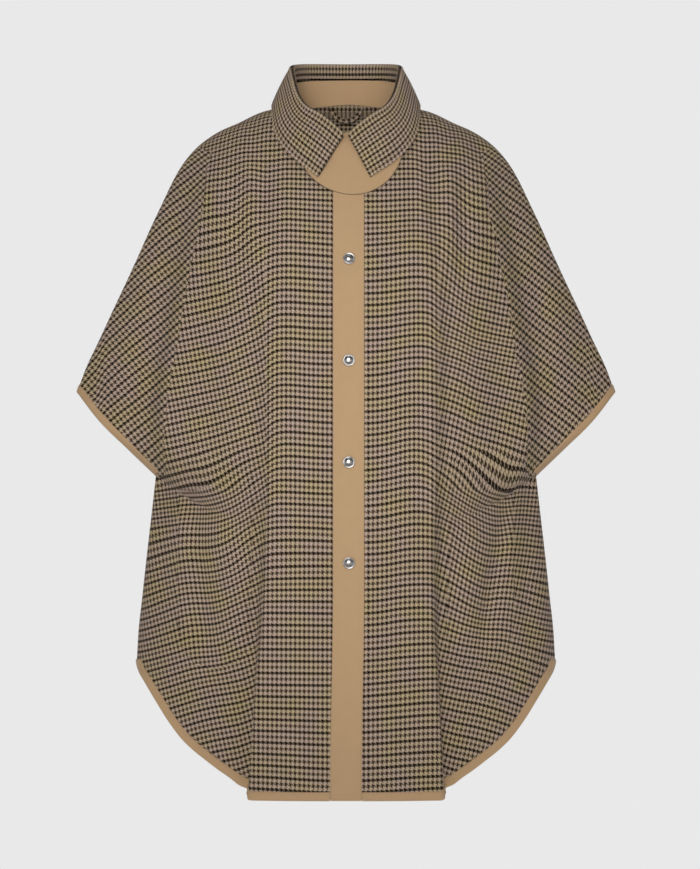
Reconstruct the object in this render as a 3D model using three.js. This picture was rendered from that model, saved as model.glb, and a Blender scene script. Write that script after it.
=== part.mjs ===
// A cape-like poncho as worn on a general figure, with nobody in it.
// Millimetres, +Z up, front towards -Y, +X to the right of someone facing it.
// The origin is at the middle of the neck's base.
import * as THREE from "three";

const WALL = 2;
const SEAM = 0.3;
const CENTRE_SHIFT = 3.9;
const CENTRE_FADE = 90;
const CUFF_DEPTH = 34;
const BIND_WIDTH = 9;
const BIND_WALL = 1.2;
const BIND_GAP = 0.4;
const BIND_LIFT = 0.7;
const BIND_OUT = 0.5;
const CUFF_TOP = 408;
const CUFF_END = 545;
const HEM = 864.5;
const NECK = 36;

const COLOURS = { check: 0x6f5b48, tan: 0xb99870, metal: 0xb9bbbd };

// Monotone curve through a table's points
function curve(xs, ys) {
  const n = xs.length;
  const h = [];
  const d = [];
  for (let i = 0; i < n - 1; i++) {
    h.push(xs[i + 1] - xs[i]);
    d.push((ys[i + 1] - ys[i]) / h[i]);
  }
  const m = [d[0]];
  for (let i = 1; i < n - 1; i++) {
    const flat = d[i - 1] * d[i] <= 0;
    const a = 2 * h[i] + h[i - 1];
    const b = h[i] + 2 * h[i - 1];
    m.push(flat ? 0 : (a + b) / (a / d[i - 1] + b / d[i]));
  }
  m.push(d[n - 2]);
  return (x) => {
    if (x <= xs[0]) return ys[0];
    if (x >= xs[n - 1]) return ys[n - 1];
    let i = 0;
    while (x > xs[i + 1]) i++;
    const u = (x - xs[i]) / h[i];
    const v = 1 - u;
    const ends = ys[i] * (1 + 2 * u) * v * v + ys[i + 1] * u * u * (3 - 2 * u);
    return ends + h[i] * (m[i] * u * v * v - m[i + 1] * u * u * v);
  };
}

function table(names, rows) {
  const columns = {};
  names.split(" ").forEach((name, k) => {
    columns[name] = rows.map((row) => row[k]);
  });
  return columns;
}

function along(columns, name, key = "drop") {
  return curve(columns[key], columns[name]);
}

// Side line of the garment: shoulder and overarm, cuff, then side seam
const SIDE = table("drop x z", [
  [27, 72, 15], [36, 84, 13], [45, 107, 8], [62, 140, -7], [85, 165, -18],
  [106, 191, -36], [128, 212, -60], [148, 226, -84], [168, 237, -107],
  [204, 254, -143], [240, 270, -179], [276, 287, -216], [312, 304, -252],
  [346, 321, -289], [380, 338, -325], [408, 349, -355], [452, 316.5, -393.5],
  [492, 285.5, -424.5], [545, 247, -464], [585, 251.5, -504], [655, 258, -562],
  [730, 264, -619], [795, 269, -665], [HEM, 271.2, -703.5]]);

// Sections from the neck down: how deep, how round and how open each one is
const FORM = table("drop front_y back_z back_y square open rise hem_share", [
  [27, 80, 44, 62, 2.0, 0.0, 1.3, 0],
  [36, 83, 26, 68.5, 2.0, 0.0, 1.4, 0],
  [45, 88, 3, 78, 2.0, 0.0, 1.6, 0],
  [85, 101, -52, 104, 2.0, 0.05, 2, 0],
  [128, 116, -102, 118, 2.0, 0.15, 2, 0],
  [168, 126, -146, 126, 2.05, 0.3, 2, 0],
  [240, 136, -222, 132, 2.1, 0.4, 2, 0],
  [312, 140, -300, 134, 2.1, 0.4, 2, 0],
  [380, 143, -372, 136, 2.15, 0.38, 2, 0],
  [408, 144, -401, 137, 2.2, 0.5, 2, 0],
  [452, 146, -447, 138, 2.2, 0.85, 2, 0],
  [492, 147, -488, 139, 2.2, 0.95, 2, 0],
  [545, 149, -543, 140, 2.3, 0.65, 2, 0],
  [585, 150, -584, 141, 2.4, 0.45, 2, 0.1],
  [655, 152, -655, 144, 2.5, 0.2, 2, 0.3],
  [730, 154, -730, 147, 2.6, 0.08, 2, 0.55],
  [HEM, 158, -862, 152, 2.6, 0.0, 2, 1]]);

// Largest folds: the soft front edge, the side behind it and the sleeve crease
const FOLDS = table("drop left_x right_x width step over side crease_x crease", [
  [27, 36, 38, 8, 0, 0, 0, 58, 0],
  [36, 42, 44, 9, 0, 0, 0, 66, 0],
  [45, 52, 56, 12, 0, 0, 0, 84, 0],
  [85, 72, 80, 18, 0, 0, 0, 134, 0.05],
  [128, 86, 96, 24, 0.01, 0, 0, 170, 0.16],
  [168, 91, 104, 26, 0.03, 0, 0.03, 184, 0.26],
  [240, 91, 107, 26, 0.08, 0, 0.08, 199, 0.33],
  [312, 90, 107, 25, 0.11, 0, 0.12, 212, 0.34],
  [380, 90, 107, 24, 0.12, 0, 0.14, 225, 0.34],
  [408, 90, 107, 23, 0.13, 0, 0.15, 228, 0.36],
  [452, 90, 107, 22, 0.13, 0, 0.15, 227, 0.5],
  [492, 90, 106, 21, 0.14, 0, 0.14, 224, 0.55],
  [545, 93, 105, 20, 0.15, 0, 0.1, 214, 0.5],
  [585, 94, 103, 20, 0.16, 0.5, 0.06, 212, 0.3],
  [655, 98, 103, 19, 0.18, 2, 0.03, 212, 0.1],
  [730, 104, 107, 17, 0.19, 4, 0.0, 215, 0],
  [HEM, 111, 112, 18, 0.21, 6.5, 0.0, 222, 0]]);

// Curved hem: share of its rise against share of the half width
const HEM_CURVE = table("share rise", [
  [0, 0], [0.42, 0], [0.43, 0.006], [0.45, 0.035], [0.465, 0.054], [0.48, 0.07],
  [0.5, 0.096], [0.52, 0.125], [0.59, 0.205], [0.65, 0.278], [0.71, 0.354],
  [0.76, 0.43], [0.83, 0.574], [0.89, 0.72], [0.95, 0.865], [0.98, 0.932], [1, 1]]);

const hemRise = along(HEM_CURVE, "rise", "share");

function onStretch(name, first, last) {
  const keep = SIDE.drop.map((d, k) => k).filter((k) => {
    return SIDE.drop[k] >= first && SIDE.drop[k] <= last;
  });
  return curve(keep.map((k) => SIDE.drop[k]), keep.map((k) => SIDE[name][k]));
}

const stretches = [[27, CUFF_TOP], [CUFF_TOP, CUFF_END], [CUFF_END, HEM]].map(([a, b]) => {
  return { a, b, x: onStretch("x", a, b), z: onStretch("z", a, b) };
});

function sideAt(drop) {
  const part = stretches.find((s) => drop <= s.b) || stretches[2];
  return { x: part.x(drop), z: part.z(drop) };
}

const form = {};
for (const name of Object.keys(FORM)) {
  if (name !== "drop") form[name] = along(FORM, name);
}
const folds = {};
for (const name of Object.keys(FOLDS)) {
  if (name !== "drop") folds[name] = along(FOLDS, name);
}

const smooth = (u) => {
  const v = Math.min(1, Math.max(0, u));
  return v * v * (3 - 2 * v);
};

function cuffDepth(drop) {
  if (drop <= CUFF_TOP || drop >= CUFF_END) return 0;
  const share = (drop - CUFF_TOP) / (CUFF_END - CUFF_TOP);
  const rise = Math.pow(Math.sin(Math.PI * Math.min(share, 0.5)), 0.75);
  const fall = share > 0.5 ? 1 - Math.pow((share - 0.5) / 0.5, 1.6) : 1;
  return CUFF_DEPTH * rise * fall;
}

// Height of a section's point that lies x from the middle
function sectionZ(face, x, drop) {
  const side = sideAt(drop);
  const share = Math.min(1, x / side.x);
  const plain = Math.pow(share, form.rise(drop));
  const w = form.hem_share(drop);
  const rise = (1 - w) * plain + w * hemRise(share);
  const middle = face === "front" ? -drop : form.back_z(drop);
  return middle + (side.z - middle) * rise;
}

// Point of the outer surface: x from the middle, on the section at drop
function surface(face, side, x, drop) {
  const edge = sideAt(drop);
  const share = Math.min(1, x / edge.x);
  const n = form.square(drop);
  const round = Math.pow(Math.max(0, 1 - Math.pow(share, n)), 1 / n);
  const lens = 1 - Math.pow(share, 3);
  const open = form.open(drop);
  const full = (1 - open) * round + open * lens;
  const depth = face === "front" ? form.front_y(drop) : form.back_y(drop);
  const cuff = cuffDepth(drop);
  const width = folds.width(drop);
  const foldX = side < 0 ? folds.left_x(drop) : folds.right_x(drop);
  const creaseX = folds.crease_x(drop);
  const u = (x - foldX) / width;
  const strength = face === "front" ? 1 : 0.45;
  const fall = (x - foldX - width) / Math.max(10, creaseX - foldX - width);
  const keep = (1 - strength * folds.step(drop) * smooth(u))
    * (1 - folds.side(drop) * smooth(fall))
    * (1 - folds.crease(drop) * smooth((x - creaseX) / 27));
  const y = cuff + (depth - cuff) * full * keep;
  const bump = (at) => Math.exp(-Math.pow((u - at) / 0.3, 2));
  const over = strength * folds.over(drop) * (bump(0.2) - bump(0.85));
  const shift = CENTRE_SHIFT * (1 - smooth(x / CENTRE_FADE));
  return new THREE.Vector3(side * (x + over) + shift,
    face === "front" ? -y : y, sectionZ(face, x, drop));
}

// Section that passes a point of the front view
function dropAt(face, x, z) {
  let low = 20;
  let high = HEM;
  for (let k = 0; k < 44; k++) {
    const middle = (low + high) / 2;
    const side = sideAt(middle);
    const height = x <= side.x ? sectionZ(face, x, middle) : side.z;
    if (height < z) high = middle;
    else low = middle;
  }
  return (low + high) / 2;
}

// Grid columns of a section, from the middle out to the side line
function columnsAt(side, drop, counts, lastIn) {
  const edge = sideAt(drop).x;
  const small = Math.min(1, edge / 212);
  const foldX = side < 0 ? folds.left_x(drop) : folds.right_x(drop);
  const marks = [SEAM, 20, foldX - 7 * small, foldX + (folds.width(drop) + 5) * small];
  const creaseX = folds.crease_x(drop);
  marks.push(Math.max(creaseX - 5 * small, marks[3] + 6 * small));
  const room = edge - marks[4];
  marks.push(marks[4] + Math.min(36 * small, room * 0.5));
  const columns = [];
  for (let k = 0; k < 5; k++) {
    for (let i = 0; i < counts[k]; i++) {
      columns.push(marks[k] + (marks[k + 1] - marks[k]) * i / counts[k]);
    }
  }
  const last = counts[5];
  for (let i = 0; i <= last; i++) {
    const straight = i / last;
    const bent = Math.sin(straight * Math.PI / 2);
    const open = form.open(drop);
    columns.push(marks[5] + (edge - marks[5]) * (open * straight + (1 - open) * bent));
  }
  if (lastIn) columns[columns.length - 2] = edge - lastIn;
  return columns;
}

const DROPS = [NECK, 45, 62, 85, 106, 128, 148, 168, 204, 240, 276, 312, 346, 380,
  399.6, 408, 412, 420, 434, 452, 472, 492, 512, 530, 545, 575, 610, 655, 692, 730,
  770, 812];

const BEVEL = {
  top: { x: -0.98, z: 0.19, reach: 10.6 },
  cuff: { x: -0.715, z: 0.7, reach: 9 },
  end: { x: -0.947, z: 0.32, reach: 9.9 } };

// Slope of the hem's curve
function hemLift(face, x) {
  const far = Math.min(x + 1, sideAt(HEM).x);
  const near = Math.max(x - 1, 0);
  return Math.atan2(sectionZ(face, far, HEM) - sectionZ(face, near, HEM), far - near);
}

// One half of a face as rows of outer points, with normals
function halfGrid(face, side, drops, counts) {
  const rows = [];
  for (const drop of drops) {
    const columns = columnsAt(side, drop, counts, 0);
    const row = columns.map((x) => surface(face, side, x, drop));
    if (drop >= CUFF_TOP && drop <= CUFF_END) {
      const bevel = drop === CUFF_TOP ? BEVEL.top : drop === CUFF_END ? BEVEL.end : BEVEL.cuff;
      const edge = sideAt(drop);
      const x = edge.x + bevel.x * bevel.reach;
      const z = edge.z + bevel.z * bevel.reach;
      const from = row.length - 1 - counts[5];
      const startX = columns[from];
      const startZ = sectionZ(face, startX, drop);
      for (let i = from + 1; i < row.length - 1; i++) {
        const share = (i - from) / (counts[5] - 1);
        const toX = startX + (x - startX) * share;
        const toZ = startZ + (z - startZ) * share;
        row[i] = surface(face, side, toX, dropAt(face, toX, toZ));
      }
    }
    rows.push(row);
  }
  const hemColumns = columnsAt(side, HEM, counts, 0);
  const hem = hemColumns.map((x) => surface(face, side, x, HEM));
  const above = hemColumns.map((x, i) => {
    if (i === hemColumns.length - 1) {
      return surface(face, side, sideAt(HEM - 14).x, HEM - 14);
    }
    const lift = hemLift(face, x);
    const far = x - Math.sin(lift) * BIND_WIDTH * (i > 0 ? 1 : 0);
    const high = sectionZ(face, x, HEM) + Math.cos(lift) * BIND_WIDTH;
    return surface(face, side, far, dropAt(face, far, high));
  });
  rows.push(above, hem);
  const last = rows[0].length - 1;
  const sign = face === "front" ? -1 : 1;
  const endRow = drops.indexOf(CUFF_END);
  const topRow = drops.indexOf(CUFF_TOP);
  rows.forEach((row, j) => {
    if (j <= topRow || j >= endRow) row[last].y = sign * SEAM / 2;
  });
  const normals = rows.map((row, j) => row.map((point, i) => {
    const up = rows[Math.max(0, j - 1)][i];
    const down = rows[Math.min(rows.length - 1, j + 1)][i];
    const inner = row[Math.max(0, i - 1)];
    const outer = row[Math.min(last, i + 1)];
    const across = outer.clone().sub(inner);
    const length = down.clone().sub(up);
    const normal = length.cross(across).multiplyScalar(side * -sign);
    const closed = j <= topRow || j >= endRow;
    if (i === last && closed) {
      const from = j === endRow ? row[last] : up.clone();
      const to = j === topRow ? row[last] : down.clone();
      const path = to.clone().sub(from);
      normal.set(side * Math.abs(path.z), 0, Math.abs(path.x) * (path.x * side > 0 ? 1 : -1));
    }
    if (i === 0) normal.x = 0;
    return normal.normalize();
  }));
  return { rows, normals, side, face, last, topRow, endRow, hemColumns };
}

// Solids from lists of points
class Faces {
  constructor() {
    this.points = [];
    this.indices = [];
  }
  add(point) {
    this.points.push(point.x, point.y, point.z);
    return this.points.length / 3 - 1;
  }
  tri(a, b, c) {
    this.indices.push(a, b, c);
  }
  quad(a, b, c, d) {
    this.indices.push(a, b, d, b, c, d);
  }
  geometry(flip) {
    if (flip) {
      for (let k = 0; k < this.indices.length; k += 3) {
        const keep = this.indices[k];
        this.indices[k] = this.indices[k + 1];
        this.indices[k + 1] = keep;
      }
    }
    const made = new THREE.BufferGeometry();
    made.setAttribute("position", new THREE.Float32BufferAttribute(this.points, 3));
    made.setIndex(this.indices);
    let volume = 0;
    const at = (k) => new THREE.Vector3().fromArray(this.points, 3 * k);
    for (let k = 0; k < this.indices.length; k += 3) {
      const [a, b, c] = this.indices.slice(k, k + 3).map(at);
      volume += a.dot(b.cross(c));
    }
    return volume < 0 && !flip ? this.geometry(true) : made;
  }
}

const parts = new THREE.Group();
parts.name = "poncho";

function addPart(name, geometry, colour) {
  geometry.computeVertexNormals();
  const metal = colour === COLOURS.metal;
  const material = new THREE.MeshStandardMaterial({
    color: colour, roughness: metal ? 0.3 : 0.9, metalness: metal ? 1 : 0 });
  material.name = metal ? "metal" : colour === COLOURS.tan ? "tan" : "check";
  const mesh = new THREE.Mesh(geometry, material);
  mesh.name = name;
  parts.add(mesh);
}

// Closed shell between two grids of the same size
function shell(over, under, turned = 0) {
  const faces = new Faces();
  const ids = [over, under].map((grid) => grid.map((row) => row.map((p) => faces.add(p))));
  const high = over.length - 1;
  const wide = over[0].length - 1;
  for (let j = 0; j < high; j++) {
    for (let i = 0; i < wide; i++) {
      const [o, u] = ids;
      if (i < turned) {
        faces.quad(o[j][i + 1], o[j + 1][i + 1], o[j + 1][i], o[j][i]);
        faces.quad(u[j][i + 1], u[j][i], u[j + 1][i], u[j + 1][i + 1]);
      } else {
        faces.quad(o[j][i], o[j][i + 1], o[j + 1][i + 1], o[j + 1][i]);
        faces.quad(u[j][i], u[j + 1][i], u[j + 1][i + 1], u[j][i + 1]);
      }
    }
  }
  const rim = (a, b, other) => {
    const [o, u] = ids;
    const ring = [o[a[0]][a[1]], u[a[0]][a[1]], u[b[0]][b[1]], o[b[0]][b[1]]];
    if (other) ring.push(ring.shift());
    faces.quad(...ring);
  };
  for (let i = 0; i < wide; i++) {
    rim([0, i], [0, i + 1]);
    rim([high, i + 1], [high, i], i >= turned);
  }
  for (let j = 0; j < high; j++) {
    rim([j, wide], [j + 1, wide]);
    rim([j + 1, 0], [j, 0], turned > 0);
  }
  return faces;
}

const moved = (point, normal, by) => point.clone().addScaledVector(normal, by);

function raised(rows, normals, by) {
  return rows.map((row, j) => row.map((p, i) => moved(p, normals[j][i], by)));
}

// Panels
const FRONT_COUNTS = [1, 3, 5, 4, 3, 4];
const BACK_COUNTS = [1, 2, 3, 3, 3, 4];
const backDrops = DROPS.filter((d) => ![62, 106, 148, 276, 346, 575, 692, 812].includes(d));
const fronts = {};
const backs = {};
for (const [name, side] of [["left", -1], ["right", 1]]) {
  const grid = halfGrid("front", side, DROPS, FRONT_COUNTS);
  fronts[name] = grid;
  const under = raised(grid.rows, grid.normals, -WALL);
  addPart("front_" + name, shell(grid.rows, under).geometry(), COLOURS.check);
  backs[name] = halfGrid("back", side, backDrops, BACK_COUNTS);
}

// The back's two halves share one middle column
function joined(left, right) {
  return left.map((row, j) => {
    const half = row.slice(1).reverse();
    const middle = row[0].clone().add(right[j][0]).multiplyScalar(0.5);
    return [...half, middle, ...right[j].slice(1)];
  });
}
const backRows = joined(backs.left.rows, backs.right.rows);
const backNormals = joined(backs.left.normals, backs.right.normals);
backNormals.forEach((row) => row.forEach((n) => n.normalize()));
const backUnder = raised(backRows, backNormals, -WALL);
const backMiddle = (backRows[0].length - 1) / 2;
addPart("back", shell(backRows, backUnder, backMiddle).geometry(), COLOURS.check);

// Binding: a folded strip over an edge, from the edge's own points
function bindingSection(edge, edgeNormal, line, innerNormal, out) {
  const inner = line.clone().lerp(edge, 0.08);
  const flat = out.clone().addScaledVector(edgeNormal, -out.dot(edgeNormal)).normalize();
  const far = moved(edge, flat, BIND_OUT + BIND_WALL);
  const near = moved(edge, flat, BIND_OUT);
  const topOut = BIND_GAP + BIND_WALL;
  const low = -WALL - BIND_GAP;
  const lowOut = low - BIND_WALL;
  return [moved(inner, innerNormal, topOut + BIND_LIFT), moved(far, edgeNormal, topOut),
    moved(far, edgeNormal, lowOut), moved(inner, innerNormal, lowOut - BIND_LIFT),
    moved(inner, innerNormal, low - BIND_LIFT), moved(near, edgeNormal, low),
    moved(near, edgeNormal, BIND_GAP), moved(inner, innerNormal, BIND_GAP + BIND_LIFT)];
}

const AT_EDGE = [false, true, true, false, false, true, true, false];

// Sections before the turn run towards the corner that the others run from
function stripSolid(sections, turn) {
  const faces = new Faces();
  const ids = sections.map((section) => section.map((p) => faces.add(p)));
  const size = sections[0].length;
  for (let j = 0; j + 1 < ids.length; j++) {
    for (let k = 0; k < size; k++) {
      const m = (k + 1) % size;
      const falls = AT_EDGE[k] === j >= turn;
      const a = ids[j][k];
      const b = ids[j][m];
      const c = ids[j + 1][m];
      const d = ids[j + 1][k];
      if (falls) faces.quad(b, c, d, a);
      else faces.quad(a, b, c, d);
    }
  }
  const cap = (row, turn) => {
    for (const [a, b, c, d] of [[0, 1, 6, 7], [1, 2, 5, 6], [2, 3, 4, 5]]) {
      if (turn) faces.quad(row[a], row[b], row[c], row[d]);
      else faces.quad(row[d], row[c], row[b], row[a]);
    }
  };
  cap(ids[0], false);
  cap(ids[ids.length - 1], true);
  return faces;
}

for (const [name, side] of [["left", -1], ["right", 1]]) {
  const out = new THREE.Vector3(side * 0.7, 0, -0.715).normalize();
  const lengthOf = (grid) => {
    const sections = [];
    for (let j = grid.endRow - 1; j >= grid.topRow; j--) {
      const n = grid.last;
      sections.push(bindingSection(grid.rows[j][n], grid.normals[j][n],
        grid.rows[j][n - 1], grid.normals[j][n - 1], out));
    }
    return sections;
  };
  const front = lengthOf(fronts[name]);
  const back = lengthOf(backs[name]).reverse();
  const grid = fronts[name];
  const top = grid.rows[grid.topRow][grid.last].clone().setY(0);
  const higher = grid.rows[grid.topRow - 1][grid.last].clone().setY(0);
  const middle = bindingSection(top, grid.normals[grid.topRow][grid.last],
    higher, grid.normals[grid.topRow - 1][grid.last], out);
  const strip = stripSolid([...front, middle, ...back], front.length);
  addPart("cuff_binding_" + name, strip.geometry(), COLOURS.tan);
}

function hemSections(grid) {
  const last = grid.rows.length - 1;
  return grid.hemColumns.map((x, i) => {
    const lift = hemLift(grid.face, x);
    const out = new THREE.Vector3(grid.side * Math.sin(lift), 0, -Math.cos(lift));
    return bindingSection(grid.rows[last][i], grid.normals[last][i],
      grid.rows[last - 1][i], grid.normals[last - 1][i], out);
  });
}

// On the fronts the strip starts beside the placket, which runs down to the hem's edge
const HEM_START = 0.5;
for (const name of ["left", "right"]) {
  const sections = hemSections(fronts[name]).slice(1);
  for (const point of sections[0]) point.x += fronts[name].side * HEM_START;
  addPart("hem_binding_" + name, stripSolid(sections, 0).geometry(), COLOURS.tan);
}
{
  const left = hemSections(backs.left);
  const right = hemSections(backs.right);
  const middle = left[0].map((p, k) => p.clone().add(right[0][k]).multiplyScalar(0.5));
  const sections = [...left.slice(1).reverse(), middle, ...right.slice(1)];
  const strip = stripSolid(sections, left.length - 1);
  addPart("hem_binding_back", strip.geometry(), COLOURS.tan);
}

// Placket over the closed front opening, from the half-moon down to the hem's edge
const PLACKET_TOP = 106;
const PLACKET_WALL = 1.5;
{
  const first = DROPS.indexOf(PLACKET_TOP);
  const left = fronts.left;
  const right = fronts.right;
  const rows = [];
  const normals = [];
  const end = left.rows.length - 1;
  for (let j = first; j <= end; j++) {
    const row = [left.rows[j][1], left.rows[j][0], right.rows[j][0], right.rows[j][1]];
    const normal = [left.normals[j][1], left.normals[j][0],
      right.normals[j][0], right.normals[j][1]];
    rows.push(row.map((p) => p.clone()));
    normals.push(normal);
  }
  for (const point of rows[rows.length - 1]) point.z -= BIND_OUT + BIND_WALL;
  const under = raised(rows, normals, SEAM);
  const over = raised(rows, normals, SEAM + PLACKET_WALL);
  addPart("placket", shell(over, under).geometry(), COLOURS.tan);
}

// Snaps: domed caps with a rim
const SNAPS = table("z", [[-191.4], [-318.7], [-445.9], [-571.3]]);
const CAP = table("r h", [[7.5, 0], [7.5, 1.1], [7.0, 1.9], [6.2, 1.7], [5.4, 2.3], [3.2, 3.3]]);
SNAPS.z.forEach((z, k) => {
  const drop = dropAt("front", 0, z);
  const at = surface("front", 1, 0, drop);
  const above = surface("front", 1, 0, drop - 6);
  const below = surface("front", 1, 0, drop + 6);
  const slope = (above.y - below.y) / (above.z - below.z);
  const normal = new THREE.Vector3(0, -1, slope).normalize();
  const up = new THREE.Vector3(0, slope, 1).normalize();
  const across = new THREE.Vector3(1, 0, 0);
  const base = moved(at, normal, SEAM + PLACKET_WALL + 0.4);
  const faces = new Faces();
  const around = 16;
  const rings = CAP.r.map((r, j) => {
    const ring = [];
    for (let i = 0; i < around; i++) {
      const angle = 2 * Math.PI * i / around;
      const point = moved(base, normal, CAP.h[j]);
      point.addScaledVector(across, r * Math.cos(angle));
      point.addScaledVector(up, r * Math.sin(angle));
      ring.push(faces.add(point));
    }
    return ring;
  });
  const foot = faces.add(base);
  const crown = faces.add(moved(base, normal, 3.7));
  for (let i = 0; i < around; i++) {
    const m = (i + 1) % around;
    for (let j = 0; j + 1 < rings.length; j++) {
      faces.quad(rings[j][i], rings[j][m], rings[j + 1][m], rings[j + 1][i]);
    }
    faces.tri(foot, rings[0][m], rings[0][i]);
    faces.tri(crown, rings[rings.length - 1][i], rings[rings.length - 1][m]);
  }
  addPart("snap_" + (k + 1), faces.geometry(), COLOURS.metal);
});

// Half-moon facing on the chest
const BIB = { x: 5, z: -45, wide: 66, deep: 65, gap: 2.2, wall: 1.4 };
{
  const across = 16;
  const down = 4;
  const over = [];
  const under = [];
  for (let j = 0; j <= down; j++) {
    const rowOver = [];
    const rowUnder = [];
    for (let i = 0; i <= across; i++) {
      const turn = (i / across * 2 - 1) * 85 * Math.PI / 180;
      const low = { x: BIB.x + BIB.wide * Math.sin(turn), z: BIB.z - BIB.deep * Math.cos(turn) };
      const reach = Math.abs(turn) / (85 * Math.PI / 180) * 50;
      const start = { x: Math.sign(turn) * reach, z: sectionZ("front", reach, NECK + 4) };
      const share = j / down;
      const x = start.x + (low.x - start.x) * share;
      const z = start.z + (low.z - start.z) * share;
      const side = x < 0 ? -1 : 1;
      const far = Math.abs(x);
      const drop = dropAt("front", far, z);
      const point = surface("front", side, far, drop);
      const next = surface("front", side, far + 2, drop);
      const lower = surface("front", side, far, drop + 4);
      const normal = lower.sub(point).cross(next.sub(point)).multiplyScalar(side).normalize();
      if (far < 1) normal.x = 0;
      rowUnder.push(moved(point, normal, BIB.gap));
      rowOver.push(moved(point, normal, BIB.gap + BIB.wall));
    }
    over.push(rowOver);
    under.push(rowUnder);
  }
  addPart("bib", shell(over, under).geometry(), COLOURS.tan);
}

// Pockets on the fronts' sides
const POCKET = table("share in_top in_low out", [
  [0, -440, 0, 0], [0.25, -452, 0, 0], [0.5, -470, 0, 0], [0.8, -481, 0, 0], [1, -481, 0, 0]]);
const POCKET_LOW = table("share z", [
  [0, -686], [0.2, -697], [0.5, -706], [0.75, -703], [0.92, -694], [1, -686]]);
const POCKET_GAP = 1.6;
const POCKET_WALL = 1.5;
for (const [name, side] of [["left", -1], ["right", 1]]) {
  const top = along(POCKET, "in_top", "share");
  const low = along(POCKET_LOW, "z", "share");
  const over = [];
  const under = [];
  const high = 12;
  const wide = 10;
  for (let j = 0; j <= high; j++) {
    const rowOver = [];
    const rowUnder = [];
    for (let i = 0; i <= wide; i++) {
      const share = i / wide;
      const z = top(share) + (low(share) - top(share)) * j / high;
      const fold = side < 0 ? folds.left_x : folds.right_x;
      const inner = fold(-z) + folds.width(-z) + 5;
      const outer = 214 - 10 * Math.pow(Math.max(0, (-z - 600) / 100), 2);
      const x = inner + (outer - inner) * share;
      const drop = dropAt("front", x, z);
      const point = surface("front", side, x, drop);
      const next = surface("front", side, x + 2, drop);
      const lower = surface("front", side, x, drop + 4);
      const normal = lower.sub(point).cross(next.sub(point)).multiplyScalar(side).normalize();
      rowUnder.push(moved(point, normal, POCKET_GAP));
      rowOver.push(moved(point, normal, POCKET_GAP + POCKET_WALL));
    }
    over.push(rowOver);
    under.push(rowUnder);
  }
  addPart("pocket_" + name, shell(over, under).geometry(), COLOURS.check);
}

// Collar stand: rises from the neck edge's own points
const ROLL = table("turn x y z", [
  [0, 3.5, -87, -30], [0.12, 17, -86, -17], [0.24, 33, -80, -4], [0.38, 52, -67, 9],
  [0.5, 63, -50, 28], [0.62, 69, -28, 54], [0.72, 70.5, -3, 66], [0.82, 66, 26, 72],
  [0.91, 42, 52, 76], [1, 0, 63, 77]]);
const roll = {};
for (const name of ["x", "y", "z"]) roll[name] = along(ROLL, name, "turn");

function rollAt(side, turn) {
  const shift = CENTRE_SHIFT * 0.7 * (1 - smooth(turn / 0.4));
  return new THREE.Vector3(side * roll.x(turn) + shift, roll.y(turn), roll.z(turn));
}

// Place round the neck: 0 at the front middle, 1 at the back middle
function turnOf(point) {
  const angle = Math.atan2(Math.abs(point.x), -point.y) / Math.PI;
  return Math.pow(angle, 0.9) * 0.98 + 0.02 * angle;
}

function neckLine(side) {
  const name = side < 0 ? "left" : "right";
  const front = fronts[name].rows[0].slice(0, -1);
  const frontN = fronts[name].normals[0].slice(0, -1);
  const back = backs[name].rows[0].slice().reverse();
  const backN = backs[name].normals[0].slice().reverse();
  const line = [...front, ...back].map((p) => p.clone());
  const normals = [...frontN, ...backN].map((p) => p.clone());
  return { line, normals };
}
const STAND_SHARE = 0.61;
const STAND_FROM = 5;
{
  const over = [[], [], [], []];
  const under = [[], [], [], []];
  const collect = (side) => {
    const { line, normals } = neckLine(side);
    const outerRows = [[], [], [], []];
    const innerRows = [[], [], [], []];
    for (let i = STAND_FROM; i < line.length; i++) {
      const top = rollAt(side, turnOf(line[i]));
      const inward = normals[i].clone().setZ(0).normalize();
      const foot = moved(line[i], new THREE.Vector3(0, 0, 1), SEAM + 0.2);
      const low = moved(foot, normals[i], -WALL);
      const topIn = top.clone().addScaledVector(inward, -3.5);
      for (let j = 0; j < 4; j++) {
        const share = STAND_SHARE * j / 3;
        const outer = foot.clone().lerp(topIn, share);
        const inner = low.clone().lerp(moved(topIn, inward, -WALL), share);
        outerRows[j].push(outer);
        innerRows[j].push(inner);
      }
    }
    return { outerRows, innerRows };
  };
  const left = collect(-1);
  const right = collect(1);
  for (let j = 0; j < 4; j++) {
    const leftOver = left.outerRows[j].slice(0, -1);
    const leftUnder = left.innerRows[j].slice(0, -1);
    over[j] = [...leftOver, ...right.outerRows[j].slice().reverse()];
    under[j] = [...leftUnder, ...right.innerRows[j].slice().reverse()];
  }
  addPart("collar_stand", shell(over, under).geometry(), COLOURS.tan);
}

// Collar fall: inside strip, roll and outer leaf, as one rolled cloth
const LEAF = table("turn share drop lift", [
  [0, 0.19, 91, 4.4], [0.12, 0.28, 84, 4.4], [0.24, 0.42, 75, 4.4], [0.38, 0.6, 62, 4.2],
  [0.5, 0.8, 49, 4], [0.62, 0.97, 41, 4.8], [0.7, 1, 39.5, 5.4], [0.78, 0.9, 42.5, 5],
  [0.87, 0.6, 52, 6], [0.94, 0.3, 58, 5], [1, 0, 60, 5]]);
const leaf = {};
for (const name of ["share", "drop", "lift"]) leaf[name] = along(LEAF, name, "turn");

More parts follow.
